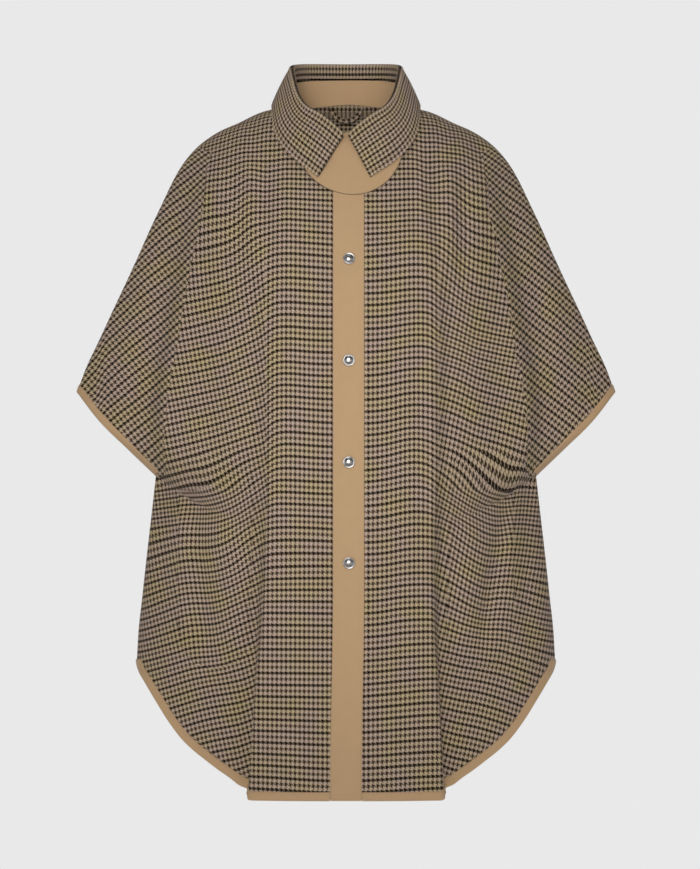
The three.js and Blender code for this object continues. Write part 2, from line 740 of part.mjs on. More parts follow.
function leafEdge(side, turn) {
  const face = turn <= 0.7 ? "front" : "back";
  const drop = leaf.drop(turn);
  const edge = sideAt(drop).x;
  const x = Math.min(edge - 0.5, leaf.share(turn) * edge);
  const point = surface(face, side, x, drop);
  const beside = x < 3 ? x + 3 : x - 3;
  const next = surface(face, side, beside, drop);
  const lower = surface(face, side, beside, drop + 6);
  const middle = surface(face, side, beside, drop - 6);
  const normal = lower.sub(middle).cross(next.sub(point)).normalize();
  const outward = new THREE.Vector3(point.x, point.y, 20);
  if (normal.dot(outward) < 0) normal.negate();
  if (Math.abs(turn - 0.7) < 0.03) normal.set(side * 0.2, 0, 0.98);
  return moved(point, normal, leaf.lift(turn) + 1);
}

{
  const turns = [0, 0.06, 0.12, 0.18, 0.25, 0.33, 0.41, 0.49, 0.56, 0.62, 0.68, 0.74, 0.8,
    0.87, 0.94, 1];
  const sectionAt = (side, turn) => {
    const top = rollAt(side, turn);
    const edge = leafEdge(side, turn);
    const outward = new THREE.Vector3(top.x * 1.05, top.y, 0).normalize();
    const inside = Math.max(4, 18 * smooth((turn - 0.3) / 0.35));
    const list = [];
    const tall = new THREE.Vector3(0, 0, 1);
    list.push(moved(moved(top, outward, -3), tall, -inside));
    list.push(moved(moved(top, outward, -3), tall, -3 - 0.4 * (inside - 3)));
    list.push(moved(moved(top, outward, -2.4), tall, -0.8));
    list.push(moved(top, tall, 0));
    list.push(moved(moved(top, outward, 2.6), tall, -1));
    const start = moved(moved(top, outward, 3.6), tall, -4);
    const bulge = 3 + 2 * smooth((turn - 0.74) / 0.2);
    for (const share of [0, 0.25, 0.5, 0.75, 1]) {
      const point = start.clone().lerp(edge, share);
      point.addScaledVector(outward, bulge * Math.sin(Math.PI * share) * 0.8);
      list.push(point);
    }
    return list;
  };
  const line = [];
  for (const turn of turns) line.push(sectionAt(-1, turn));
  for (const turn of turns.slice(0, -1).reverse()) line.push(sectionAt(1, turn));
  const wide = line[0].length;
  const normals = line.map((row, j) => row.map((point, i) => {
    const before = line[Math.max(0, j - 1)][i];
    const after = line[Math.min(line.length - 1, j + 1)][i];
    const up = row[Math.max(0, i - 1)];
    const down = row[Math.min(wide - 1, i + 1)];
    return after.clone().sub(before).cross(down.clone().sub(up)).normalize();
  }));
  const over = raised(line, normals, -1);
  const under = raised(line, normals, 1);
  addPart("collar_fall", shell(over, under).geometry(), COLOURS.check);
}

// Hanger loop at the back neck, sewn below the stand
{
  const loop = table("x y z", [
    [-19, 63.6, 20], [-17, 64.8, 14], [-12, 66.9, 8], [-5, 68.0, 4.5], [2, 68.2, 4],
    [9, 67.6, 6], [15, 66.2, 11], [19, 64.4, 17], [20, 63.3, 21]]);
  const over = [];
  const under = [];
  const size = loop.x.length;
  for (let k = 0; k < size; k++) {
    const x = loop.x[k];
    const y = loop.y[k];
    const z = loop.z[k];
    const before = Math.max(0, k - 1);
    const after = Math.min(size - 1, k + 1);
    const path = new THREE.Vector2(loop.x[after] - loop.x[before],
      loop.z[after] - loop.z[before]).normalize();
    const across = new THREE.Vector2(-path.y, path.x);
    const rowOver = [];
    const rowUnder = [];
    for (const by of [-3, 3]) {
      const px = x + across.x * by;
      const pz = z + across.y * by;
      rowOver.push(new THREE.Vector3(px, y, pz));
      rowUnder.push(new THREE.Vector3(px, y + 1.5, pz));
    }
    over.push(rowOver);
    under.push(rowUnder);
  }
  addPart("hanger_loop", shell(over, under).geometry(), COLOURS.check);
}

export default parts;
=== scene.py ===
import math

import bpy
import mathutils
import numpy as np
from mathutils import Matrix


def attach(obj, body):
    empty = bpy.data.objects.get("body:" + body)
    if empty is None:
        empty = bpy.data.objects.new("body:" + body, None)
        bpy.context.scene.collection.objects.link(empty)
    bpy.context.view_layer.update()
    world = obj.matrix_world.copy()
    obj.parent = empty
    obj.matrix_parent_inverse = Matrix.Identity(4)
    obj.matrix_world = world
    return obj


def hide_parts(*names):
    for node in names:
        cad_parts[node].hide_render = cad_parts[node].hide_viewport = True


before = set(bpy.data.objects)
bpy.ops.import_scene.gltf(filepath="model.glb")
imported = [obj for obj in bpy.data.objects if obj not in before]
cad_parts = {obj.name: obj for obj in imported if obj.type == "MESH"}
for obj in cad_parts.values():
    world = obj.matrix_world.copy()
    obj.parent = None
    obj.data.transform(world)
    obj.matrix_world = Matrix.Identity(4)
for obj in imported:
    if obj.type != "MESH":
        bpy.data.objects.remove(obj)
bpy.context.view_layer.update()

# Two fronts and one back, cut from wool check and joined at the shoulders and the sides.
# They are open down the front, at the neck, the cuffs and the hem; the rest is sewn on to them.
WALL = 2.0
SEAM = 0.3
CENTRE_SHIFT = 3.9
CENTRE_FADE = 90
CUFF_DEPTH = 34
CUFF_TOP = 408
CUFF_END = 545
HEM = 864.5
NECK = 36
SHARP_ANGLE = 50
TO_METRES = 0.001


def curve(xs, ys):
    xs, ys = np.array(xs, float), np.array(ys, float)
    h = np.diff(xs)
    d = np.diff(ys) / h
    m = np.concatenate([d[:1], np.zeros(len(d) - 1), d[-1:]])
    for i in range(1, len(d)):
        if d[i - 1] * d[i] > 0:
            a = 2 * h[i] + h[i - 1]
            b = h[i] + 2 * h[i - 1]
            m[i] = (a + b) / (a / d[i - 1] + b / d[i])

    def at(x):
        x = np.clip(np.asarray(x, float), xs[0], xs[-1])
        i = np.clip(np.searchsorted(xs, x, side="right") - 1, 0, len(h) - 1)
        u = (x - xs[i]) / h[i]
        v = 1 - u
        ends = ys[i] * (1 + 2 * u) * v * v + ys[i + 1] * u * u * (3 - 2 * u)
        return ends + h[i] * (m[i] * u * v * v - m[i + 1] * u * u * v)

    return at


def table(names, rows):
    return {name: [row[k] for row in rows] for k, name in enumerate(names.split())}


def curves(columns, key):
    return {name: curve(columns[key], columns[name]) for name in columns if name != key}


def smooth(u):
    v = np.clip(u, 0, 1)
    return v * v * (3 - 2 * v)


SIDE = table("drop x z", [
    (27, 72, 15), (36, 84, 13), (45, 107, 8), (62, 140, -7), (85, 165, -18), (106, 191, -36),
    (128, 212, -60), (148, 226, -84), (168, 237, -107), (204, 254, -143), (240, 270, -179),
    (276, 287, -216), (312, 304, -252), (346, 321, -289), (380, 338, -325), (408, 349, -355),
    (452, 316.5, -393.5), (492, 285.5, -424.5), (545, 247, -464), (585, 251.5, -504),
    (655, 258, -562), (730, 264, -619), (795, 269, -665), (HEM, 271.2, -703.5)])

FORM = curves(table("drop front_y back_z back_y square open rise hem_share", [
    (27, 80, 44, 62, 2.0, 0.0, 1.3, 0),
    (36, 83, 26, 68.5, 2.0, 0.0, 1.4, 0),
    (45, 88, 3, 78, 2.0, 0.0, 1.6, 0),
    (85, 101, -52, 104, 2.0, 0.05, 2, 0),
    (128, 116, -102, 118, 2.0, 0.15, 2, 0),
    (168, 126, -146, 126, 2.05, 0.3, 2, 0),
    (240, 136, -222, 132, 2.1, 0.4, 2, 0),
    (312, 140, -300, 134, 2.1, 0.4, 2, 0),
    (380, 143, -372, 136, 2.15, 0.38, 2, 0),
    (408, 144, -401, 137, 2.2, 0.5, 2, 0),
    (452, 146, -447, 138, 2.2, 0.85, 2, 0),
    (492, 147, -488, 139, 2.2, 0.95, 2, 0),
    (545, 149, -543, 140, 2.3, 0.65, 2, 0),
    (585, 150, -584, 141, 2.4, 0.45, 2, 0.1),
    (655, 152, -655, 144, 2.5, 0.2, 2, 0.3),
    (730, 154, -730, 147, 2.6, 0.08, 2, 0.55),
    (HEM, 158, -862, 152, 2.6, 0.0, 2, 1)]), "drop")

FOLDS = curves(table("drop left_x right_x width step over side crease_x crease", [
    (27, 36, 38, 8, 0, 0, 0, 58, 0),
    (36, 42, 44, 9, 0, 0, 0, 66, 0),
    (45, 52, 56, 12, 0, 0, 0, 84, 0),
    (85, 72, 80, 18, 0, 0, 0, 134, 0.05),
    (128, 86, 96, 24, 0.01, 0, 0, 170, 0.16),
    (168, 91, 104, 26, 0.03, 0, 0.03, 184, 0.26),
    (240, 91, 107, 26, 0.08, 0, 0.08, 199, 0.33),
    (312, 90, 107, 25, 0.11, 0, 0.12, 212, 0.34),
    (380, 90, 107, 24, 0.12, 0, 0.14, 225, 0.34),
    (408, 90, 107, 23, 0.13, 0, 0.15, 228, 0.36),
    (452, 90, 107, 22, 0.13, 0, 0.15, 227, 0.5),
    (492, 90, 106, 21, 0.14, 0, 0.14, 224, 0.55),
    (545, 93, 105, 20, 0.15, 0, 0.1, 214, 0.5),
    (585, 94, 103, 20, 0.16, 0.5, 0.06, 212, 0.3),
    (655, 98, 103, 19, 0.18, 2, 0.03, 212, 0.1),
    (730, 104, 107, 17, 0.19, 4, 0.0, 215, 0),
    (HEM, 111, 112, 18, 0.21, 6.5, 0.0, 222, 0)]), "drop")

hem_rise = curve(
    [0, 0.42, 0.43, 0.45, 0.465, 0.48, 0.5, 0.52, 0.59, 0.65, 0.71, 0.76, 0.83, 0.89, 0.95,
     0.98, 1],
    [0, 0, 0.006, 0.035, 0.054, 0.07, 0.096, 0.125, 0.205, 0.278, 0.354, 0.43, 0.574, 0.72,
     0.865, 0.932, 1])

# Soft troughs and ridges, each from its upper end to its lower one: x is from the middle
SOFT_FOLDS = table("face side x_top z_top x_low z_low bend width height", [
    ("front", -1, 103, -45, 98, -200, 0, 7, -3.6),
    ("front", -1, 121, -50, 116, -215, 1, 8, 3.2),
    ("front", -1, 140, -58, 133, -235, 0, 9, -2.4),
    ("front", -1, 163, -70, 158, -250, 0, 15, 2.4),
    ("front", -1, 196, -455, 176, -700, -2, 15, -7.5),
    ("front", -1, 152, -470, 142, -700, 0, 15, 3.0),
    ("front", -1, 228, -130, 262, -420, 3, 13, -4.2),
    ("front", -1, 252, -175, 300, -405, 2, 13, 2.6),
    ("front", -1, 232, -540, 240, -690, 0, 13, -3.0),
    ("front", -1, 60, -520, 66, -850, 0, 20, -2.2),
    ("front", -1, 175, -290, 168, -470, 0, 18, -2.6),
    ("front", 1, 88, -45, 99, -170, 0, 7, 2.6),
    ("front", 1, 111, -50, 114, -205, 0, 8, -3.4),
    ("front", 1, 134, -55, 131, -225, 0, 9, 3.2),
    ("front", 1, 151, -62, 148, -230, 0, 8, -2.2),
    ("front", 1, 172, -72, 172, -250, 0, 14, 2.4),
    ("front", 1, 216, -455, 171, -695, -4, 14, -7.5),
    ("front", 1, 162, -480, 150, -690, 0, 15, 2.8),
    ("front", 1, 232, -150, 268, -425, 4, 14, -3.6),
    ("front", 1, 262, -200, 296, -410, 0, 12, 2.8),
    ("front", 1, 226, -560, 236, -695, 0, 13, -3.4),
    ("front", 1, 55, -560, 62, -850, 0, 18, -2.0),
    ("front", 1, 188, -280, 196, -465, 0, 17, -2.4),
    ("back", -1, 26, -190, 34, -850, 3, 20, -4.0),
    ("back", -1, 78, -150, 88, -850, -4, 24, 5.0),
    ("back", -1, 118, -180, 136, -800, 4, 20, -6.0),
    ("back", -1, 165, -120, 178, -720, 0, 22, 4.0),
    ("back", -1, 222, -150, 258, -420, 3, 15, -4.4),
    ("back", -1, 256, -190, 296, -405, 0, 13, 3.0),
    ("back", 1, 44, -230, 56, -850, -3, 22, -5.0),
    ("back", 1, 92, -140, 108, -850, 3, 22, 4.6),
    ("back", 1, 138, -200, 150, -780, -4, 19, -5.0),
    ("back", 1, 182, -130, 190, -700, 3, 20, 3.6),
    ("back", 1, 230, -140, 264, -425, 4, 14, -3.8),
    ("back", 1, 264, -200, 300, -410, 0, 12, 2.6)])

side_parts = []
for first, last in ((27, CUFF_TOP), (CUFF_TOP, CUFF_END), (CUFF_END, HEM)):
    rows = [k for k, drop in enumerate(SIDE["drop"]) if first <= drop <= last]
    stretch = {name: [SIDE[name][k] for k in rows] for name in SIDE}
    side_parts.append(curves(stretch, "drop"))


def side_at(drop):
    where = [np.asarray(drop) <= CUFF_TOP, np.asarray(drop) <= CUFF_END]
    found = []
    for name in ("x", "z"):
        upper, cuff, lower = (part[name](drop) for part in side_parts)
        found.append(np.select(where, [upper, cuff], lower))
    return found


def cuff_depth(drop):
    share = np.clip((np.asarray(drop, float) - CUFF_TOP) / (CUFF_END - CUFF_TOP), 0, 1)
    rise = np.sin(np.pi * np.minimum(share, 0.5)) ** 0.75
    fall = 1 - np.maximum(0, (share - 0.5) / 0.5) ** 1.6
    return CUFF_DEPTH * rise * fall


def section_z(face, x, drop):
    side_x, side_z = side_at(drop)
    share = np.minimum(1, x / side_x)
    w = FORM["hem_share"](drop)
    rise = (1 - w) * share ** FORM["rise"](drop) + w * hem_rise(share)
    middle = -np.asarray(drop, float) if face == "front" else FORM["back_z"](drop)
    return middle + (side_z - middle) * rise


def soft_relief(face, side, x, z):
    total = np.zeros(np.broadcast(x, z).shape)
    for row in zip(*SOFT_FOLDS.values()):
        if row[:2] != (face, side):
            continue
        x_top, z_top, x_low, z_low, bend, width, height = row[2:]
        t = (z_top - z) / (z_top - z_low)
        centre = x_top + (x_low - x_top) * t + 4 * bend * t * (1 - t)
        ends = smooth(t / 0.25) * smooth((1.04 - t) / 0.25)
        total += height * np.exp(-(((x - centre) / width) ** 2)) * ends
    return total


def fold_at(side, drop):
    return FOLDS["left_x" if side < 0 else "right_x"](drop)


# Point of the cloth's outer face: x from the middle, on the section that starts at drop
def surface(face, side, x, drop):
    x, drop = np.broadcast_arrays(np.asarray(x, float), np.asarray(drop, float))
    side_x, _ = side_at(drop)
    share = np.minimum(1, x / side_x)
    n = FORM["square"](drop)
    round_end = np.maximum(0, 1 - share**n) ** (1 / n)
    lens = 1 - share**3
    opened = FORM["open"](drop)
    full = (1 - opened) * round_end + opened * lens
    depth = FORM["front_y" if face == "front" else "back_y"](drop)
    cuff = cuff_depth(drop)
    width = FOLDS["width"](drop)
    fold_x = fold_at(side, drop)
    crease_x = FOLDS["crease_x"](drop)
    u = (x - fold_x) / width
    strength = 1 if face == "front" else 0.45
    fall = (x - fold_x - width) / np.maximum(10, crease_x - fold_x - width)
    keep = (1 - strength * FOLDS["step"](drop) * smooth(u)) \
        * (1 - FOLDS["side"](drop) * smooth(fall)) \
        * (1 - FOLDS["crease"](drop) * smooth((x - crease_x) / 27))
    z = section_z(face, x, drop)
    y = cuff + (depth - cuff) * full * keep
    y = y + soft_relief(face, side, x, z) * smooth(full * 2.2)
    over = strength * FOLDS["over"](drop) \
        * (np.exp(-(((u - 0.2) / 0.3) ** 2)) - np.exp(-(((u - 0.85) / 0.3) ** 2)))
    shift = CENTRE_SHIFT * (1 - smooth(x / CENTRE_FADE))
    sign = -1 if face == "front" else 1
    return np.stack([side * (x + over) + shift, sign * y, z], -1)


def drop_at(face, x, z):
    x, z = np.broadcast_arrays(np.asarray(x, float), np.asarray(z, float))
    low, high = np.full(x.shape, 20.0), np.full(x.shape, HEM)
    for _ in range(30):
        middle = (low + high) / 2
        side_x, side_z = side_at(middle)
        height = np.where(x <= side_x, section_z(face, x, middle), side_z)
        high = np.where(height < z, middle, high)
        low = np.where(height < z, low, middle)
    return (low + high) / 2


# How steeply the woven lines run down and outwards, in degrees, read off the photograph:
# each row is a height, with places from the middle and the slope at each of them
WEFT_SLOPES = {
    ("front", -1): [
        (-30, (20, 0, 70, 0, 90, 6, 110, 0, 140, 10, 170, 15, 182, 18)),
        (-80, (20, 0, 65, -4, 75, 0, 86, 16, 97, 6, 103, -8, 112, -15, 119, -8, 124, 14,
               130, 28, 142, 20, 160, 6, 182, 8)),
        (-131, (20, -4, 70, -6, 84, 14, 98, 6, 112, 4, 130, 36, 144, 20, 160, 2, 182, 12)),
        (-181, (20, -6, 66, -4, 84, 6, 98, 22, 114, 33, 130, 30, 145, 22, 160, 10, 190, 6)),
        (-281, (20, 0, 60, -6, 80, 2, 92, 26, 100, 34, 114, 26, 145, 22, 160, 15, 210, 12)),
        (-331, (20, 0, 60, -7, 80, 2, 92, 30, 99, 40, 108, 24, 145, 22, 160, 14, 222, 10)),
        (-381, (20, -3, 60, -6, 80, 2, 91, 30, 99, 44, 107, 22, 145, 20, 160, 15, 226, 13)),
        (-431, (20, -2, 58, -6, 76, 2, 88, 24, 98, 44, 107, 18, 150, 20, 175, 16, 234, 12)),
        (-481, (20, -2, 60, -4, 84, 0, 92, 26, 100, 38, 130, 38, 145, 30, 160, 20, 188, 0,
                205, 12)),
        (-531, (20, -5, 66, -1, 86, 4, 96, 16, 110, 32, 130, 36, 148, 28, 162, 14, 178, 3,
                200, 0, 220, 12)),
        (-581, (20, 0, 90, 3, 98, 20, 112, 30, 130, 36, 148, 28, 162, 16, 178, 4, 190, -4,
                206, 12, 222, 18)),
        (-631, (20, -1, 98, 0, 103, 36, 112, 36, 118, 22, 148, 30, 162, 18, 176, 4, 188, 0,
                204, 16, 220, 24)),
        (-681, (20, 0, 106, 0, 110, 38, 120, 38, 126, 20, 146, 28, 160, 18, 175, 4, 188, 4,
                202, 21, 225, 20)),
        (-731, (20, 0, 112, -1, 116, 38, 126, 38, 130, 13, 145, 12, 160, 10, 176, 16, 200, 21)),
        (-831, (20, -1, 60, -4, 119, -2, 122, 38, 132, 38, 136, 12, 170, 16, 200, 20))],
    ("front", 1): [
        (-30, (20, 0, 80, 0, 95, 8, 110, 0, 149, 10)),
        (-80, (20, 0, 75, -4, 86, 6, 95, 22, 106, 4, 112, -8, 122, -14, 129, -8, 134, 14,
               141, 28, 155, 24, 170, 10, 184, 14)),
        (-131, (20, 0, 65, -6, 84, -4, 96, 14, 112, 8, 125, 6, 140, 38, 155, 28, 170, 6,
                200, 16)),
        (-181, (20, -4, 65, -8, 82, -4, 96, 6, 110, 20, 125, 35, 142, 38, 156, 28, 170, 12,
                204, 12)),
        (-231, (20, 0, 62, -8, 82, -5, 97, 4, 106, 22, 112, 36, 125, 30, 142, 36, 156, 28,
                170, 14, 212, 13)),
        (-281, (20, 0, 62, -10, 84, -7, 98, 6, 105, 24, 111, 42, 122, 26, 140, 27, 155, 32,
                170, 16, 216, 12)),
        (-331, (20, -2, 62, -12, 84, -5, 100, 8, 112, 18, 142, 22, 156, 30, 171, 18, 220, 15)),
        (-381, (20, 0, 64, -14, 84, -4, 98, 9, 125, 18, 155, 26, 172, 16, 228, 18)),
        (-431, (20, -2, 64, -16, 82, -6, 97, 16, 108, 27, 125, 18, 155, 24, 172, 16, 232, 20)),
        (-481, (20, -4, 64, -12, 84, -2, 97, 12, 108, 38, 140, 40, 156, 36, 170, 32, 185, 18,
                200, 14, 210, -8, 217, -22, 226, 4)),
        (-531, (20, 0, 64, -12, 84, -4, 98, 4, 112, 14, 125, 32, 142, 40, 158, 34, 172, 30,
                186, 16, 196, -6, 206, -11, 217, 0, 232, 12)),
        (-581, (20, 0, 60, -10, 84, -3, 98, 2, 107, 12, 114, 24, 130, 30, 155, 35, 170, 26,
                184, 0, 196, -9, 206, -2, 218, 11)),
        (-631, (20, -2, 56, -10, 84, -2, 102, 0, 106, 36, 116, 36, 122, 27, 155, 28, 170, 22,
                182, -8, 190, -10, 200, 6, 215, 20)),
        (-681, (20, -2, 56, -7, 88, -3, 107, -1, 110, 38, 120, 38, 126, 20, 145, 15, 155, 12,
                170, 14, 180, 6, 188, 4, 200, 18)),
        (-731, (20, -4, 84, -6, 108, -1, 113, 38, 123, 38, 128, 17, 155, 10, 172, 16, 215, 22)),
        (-831, (20, -2, 64, -4, 118, -1, 122, 38, 132, 38, 136, 12, 170, 18, 200, 22))],
    ("back", -1): [
        (-30, (20, 0, 90, 4, 140, 9, 200, 12)),
        (-331, (20, 1, 70, 4, 95, 12, 125, 15, 150, 6, 200, 12)),
        (-531, (20, 0, 70, 2, 100, 12, 135, 16, 160, 6, 220, 12)),
        (-831, (20, 0, 80, 1, 120, 9, 150, 12, 220, 16))],
    ("back", 1): [
        (-30, (20, 0, 90, 4, 140, 9, 200, 12)),
        (-331, (20, 0, 60, 5, 85, 1, 115, 13, 155, 9, 200, 12)),
        (-531, (20, 1, 60, 4, 90, 2, 130, 15, 165, 7, 220, 12)),
        (-831, (20, 0, 90, 2, 130, 11, 160, 10, 220, 16))]}
GRID_X = np.arange(0, 361, 3.0)
GRID_Z = np.arange(-900, 41, 6.0)
RIDGE_X = np.arange(84, 349, 5.0)
RIDGE_STEP = np.linspace(0, math.sqrt(170), 44)


def weft_drop_grid(face, side):
    rows = WEFT_SLOPES[face, side][::-1]
    lines = [np.interp(GRID_X, row[0::2], row[1::2]) for _, row in rows]
    heights = [z for z, _ in rows]
    slopes = np.array([np.interp(GRID_Z, heights, column) for column in np.array(lines).T]).T
    tangent = np.tan(np.radians(slopes))
    grid = np.zeros(tangent.shape)
    grid[:, 1:] = np.cumsum((tangent[:, 1:] + tangent[:, :-1]) / 2 * np.diff(GRID_X), 1)
    return grid


# Extra length of the cloth where it bends over the shoulder and the top of the sleeve
def ridge_grid(face, side):
    shoulder = np.linspace(NECK, CUFF_TOP, 200)
    ridge_z = np.interp(RIDGE_X, *side_at(shoulder))
    z = ridge_z[:, None] - RIDGE_STEP**2
    x = np.repeat(RIDGE_X[:, None], len(RIDGE_STEP), 1)
    y = np.abs(surface(face, side, x, drop_at(face, x, z))[..., 1])
    y[:, 0] = 0
    steps = np.hypot(np.diff(y, axis=1), np.diff(z, axis=1))
    extra = np.zeros(z.shape)
    extra[:, 1:] = np.cumsum(steps, 1) - RIDGE_STEP[1:] ** 2
    return extra[:, -1:] - extra, ridge_z


def sample(grid, rows, columns, row, column):
    j = np.clip((row - rows[0]) / (rows[1] - rows[0]), 0, len(rows) - 1.001)
    i = np.clip((column - columns[0]) / (columns[1] - columns[0]), 0, len(columns) - 1.001)
    j0, i0 = j.astype(int), i.astype(int)
    a, b = j - j0, i - i0
    upper = grid[j0, i0] * (1 - b) + grid[j0, i0 + 1] * b
    lower = grid[j0 + 1, i0] * (1 - b) + grid[j0 + 1, i0 + 1] * b
    return upper * (1 - a) + lower * a


weft_grids = {}
for face in ("front", "back"):
    for side in (-1, 1):
        weft_grids[face, side] = (weft_drop_grid(face, side), *ridge_grid(face, side))


def bend_at(face, side, x, z):
    _, extra, ridge_z = weft_grids[face, side]
    down = np.maximum(0, np.interp(x, RIDGE_X, ridge_z) - z)
    return sample(extra, RIDGE_X, RIDGE_STEP, x, np.sqrt(down))


def weft_at(face, side, x, z):
    fall = sample(weft_grids[face, side][0], GRID_Z, GRID_X, z, x)
    return z + fall + bend_at(face, side, x, z)


# Behind the front fold the cloth leans inwards on its way down
FLANK_LEAN = 11
FLANK_TOP = -120
FLANK_FULL = -330


def flank_shift(z):
    steps = np.linspace(40, -900, 400)
    lean = np.tan(np.radians(FLANK_LEAN)) * smooth((FLANK_TOP - steps) / (FLANK_TOP - FLANK_FULL))
    total = np.concatenate([[0], np.cumsum((lean[1:] + lean[:-1]) / 2 * -np.diff(steps))])
    return np.interp(-z, -steps, total)


# How the sleeve's weave turns, and the share of the folds' depth that its yarns follow
SLEEVE_TURN = math.radians(37)
SLEEVE_TOP = 106
CENTRE_BENDS = 0.5
SIDE_BENDS = 0.42
BENDS_FROM = -60
BENDS_LENGTH = 50
crease_line = curve(
    [27, 45, 85, 106, 128, 168, 190, 240, 290, 312, 380, 408, 452, 492, 520, 545, 585, 655, HEM],
    [58, 84, 148, 172, 179, 183, 189, 199, 209, 212, 225, 228, 231, 230, 234, 240, 228, 214,
     220])
COLUMN_COUNTS = (3, 12, 15, 18, 14, 20)
FRONT_ROWS = np.concatenate([
    np.arange(NECK, 168, 3.2), np.arange(168, 398, 4.6), np.arange(398, 412, 1.6),
    np.arange(412, 532, 3.1), np.arange(532, 550, 2.0), np.arange(550, 812, 5.2),
    np.linspace(812, HEM, 15)])


# Columns lie closer where the edge folds turn, and the small sections near the neck shrink them
FULL_WIDTH = 212


def columns_at(side, drop):
    edge = side_at(drop)[0]
    small = min(1, edge / FULL_WIDTH)
    fold_x = fold_at(side, drop)
    marks = [SEAM, 20, fold_x - 7 * small, fold_x + (FOLDS["width"](drop) + 5) * small]
    marks.append(max(float(crease_line(drop)), marks[3] + 6 * small))
    marks.append(marks[4] + min(36 * small, (edge - marks[4]) * 0.5))
    parts = [np.linspace(marks[k], marks[k + 1], count, endpoint=False)
             for k, count in enumerate(COLUMN_COUNTS[:5])]
    straight = np.linspace(0, 1, COLUMN_COUNTS[5] + 1)
    opened = FORM["open"](drop)
    bent = opened * straight + (1 - opened) * np.sin(straight * np.pi / 2)
    parts.append(marks[5] + (edge - marks[5]) * bent)
    return np.concatenate(parts)


FOLD_COLUMN = sum(COLUMN_COUNTS[:2]) + 7
CREASE_COLUMN = sum(COLUMN_COUNTS[:4])


# Each half is woven in three fields: the front, behind its fold and the sleeve
def half_panel(face, side):
    xs = np.array([columns_at(side, drop) for drop in FRONT_ROWS])
    drops = np.repeat(FRONT_ROWS[:, None], xs.shape[1], 1)
    points = surface(face, side, xs, drops)
    closed = (FRONT_ROWS <= CUFF_TOP) | (FRONT_ROWS >= CUFF_END)
    points[closed, -1, 1] = (-1 if face == "front" else 1) * SEAM / 2
    beyond = smooth((xs - crease_line(drops) - BENDS_FROM) / BENDS_LENGTH)
    bends = CENTRE_BENDS + (SIDE_BENDS - CENTRE_BENDS) * beyond
    steps = np.hypot(np.diff(points[..., 0]), np.diff(points[..., 1]) * bends[:, 1:])
    warp = np.zeros(xs.shape)
    warp[:, 1:] = np.cumsum(steps, 1)
    warp = warp + xs[:, :1]
    z = points[..., 2]
    weft = weft_at(face, side, xs, z)
    bent = z + bend_at(face, side, xs, z)
    sleeve_warp = xs * math.cos(SLEEVE_TURN) - bent * math.sin(SLEEVE_TURN)
    sleeve_weft = xs * math.sin(SLEEVE_TURN) + bent * math.cos(SLEEVE_TURN)
    fields = np.zeros((len(xs) - 1, xs.shape[1] - 1), int)
    fields[:, FOLD_COLUMN:] = 1
    with_sleeve = (FRONT_ROWS[:-1] >= SLEEVE_TOP) & (FRONT_ROWS[1:] <= CUFF_END)
    fields[with_sleeve, CREASE_COLUMN:] = 2
    weaves = [(side * warp, weft), (side * (warp + flank_shift(z)), weft),
              (side * sleeve_warp, sleeve_weft)]
    return {"points": points, "weaves": weaves, "fields": fields}


def grid_normals(points, outward):
    along = np.gradient(points, axis=1)
    down = np.gradient(points, axis=0)
    normal = np.cross(along, down)
    normal /= np.maximum(1e-9, np.linalg.norm(normal, axis=-1, keepdims=True))
    if np.sum(normal * outward) < 0:
        normal = -normal
    return normal


# Six times the volume that quads enclose: below zero where they face inwards
def enclosed(points, faces):
    p, q, r, s = (points[faces[:, k]] for k in range(4))
    return np.sum(p * np.cross(q, r)) + np.sum(p * np.cross(r, s))


def placed(name, mesh, uv, material, sharp_angle):
    layer = mesh.uv_layers.new(name="weave")
    layer.data.foreach_set("uv", (uv * TO_METRES).astype(np.float32).ravel())
    mesh.polygons.foreach_set("use_smooth", np.ones(len(mesh.polygons), bool))
    mesh.set_sharp_from_angle(angle=math.radians(sharp_angle))
    mesh.materials.append(material)
    made = bpy.data.objects.new(name, mesh)
    bpy.context.scene.collection.objects.link(made)
    return made


# Closed wall between a grid of points and a second one
def wall_mesh(name, outer, inner, weaves, material, fields=None):
    rows, columns = outer.shape[:2]
    size = rows * columns
    index = np.arange(size).reshape(rows, columns)
    a, b, c, d = index[:-1, :-1], index[:-1, 1:], index[1:, 1:], index[1:, :-1]
    top = np.stack([a, b, c, d], -1).reshape(-1, 4)
    faces = [top, top[:, ::-1] + size]
    around = np.concatenate([
        index[0, :], index[1:, -1], index[-1, -2::-1], index[-2::-1, 0]])
    before, after = around[:-1], around[1:]
    faces.append(np.stack([before, before + size, after + size, after], -1))
    faces = np.concatenate(faces)
    points = np.concatenate([outer.reshape(-1, 3), inner.reshape(-1, 3)]) * TO_METRES
    if enclosed(points, faces) < 0:
        faces = faces[:, ::-1]
    mesh = bpy.data.meshes.new(name)
    mesh.from_pydata(points.tolist(), [], faces.tolist())
    field = np.zeros(len(faces), int)
    if fields is not None:
        place = faces % size
        row = np.minimum((place // columns).min(1), rows - 2)
        column = np.minimum((place % columns).min(1), columns - 2)
        field = fields[row, column]
    uv = np.zeros((len(faces), 4, 2))
    for number, (warp, weft) in enumerate(weaves):
        both = np.stack([np.tile(warp.ravel(), 2), np.tile(weft.ravel(), 2)], -1)
        uv[field == number] = both[faces[field == number]]
    made = placed(name, mesh, uv, material, SHARP_ANGLE)
    mesh.validate()
    return made


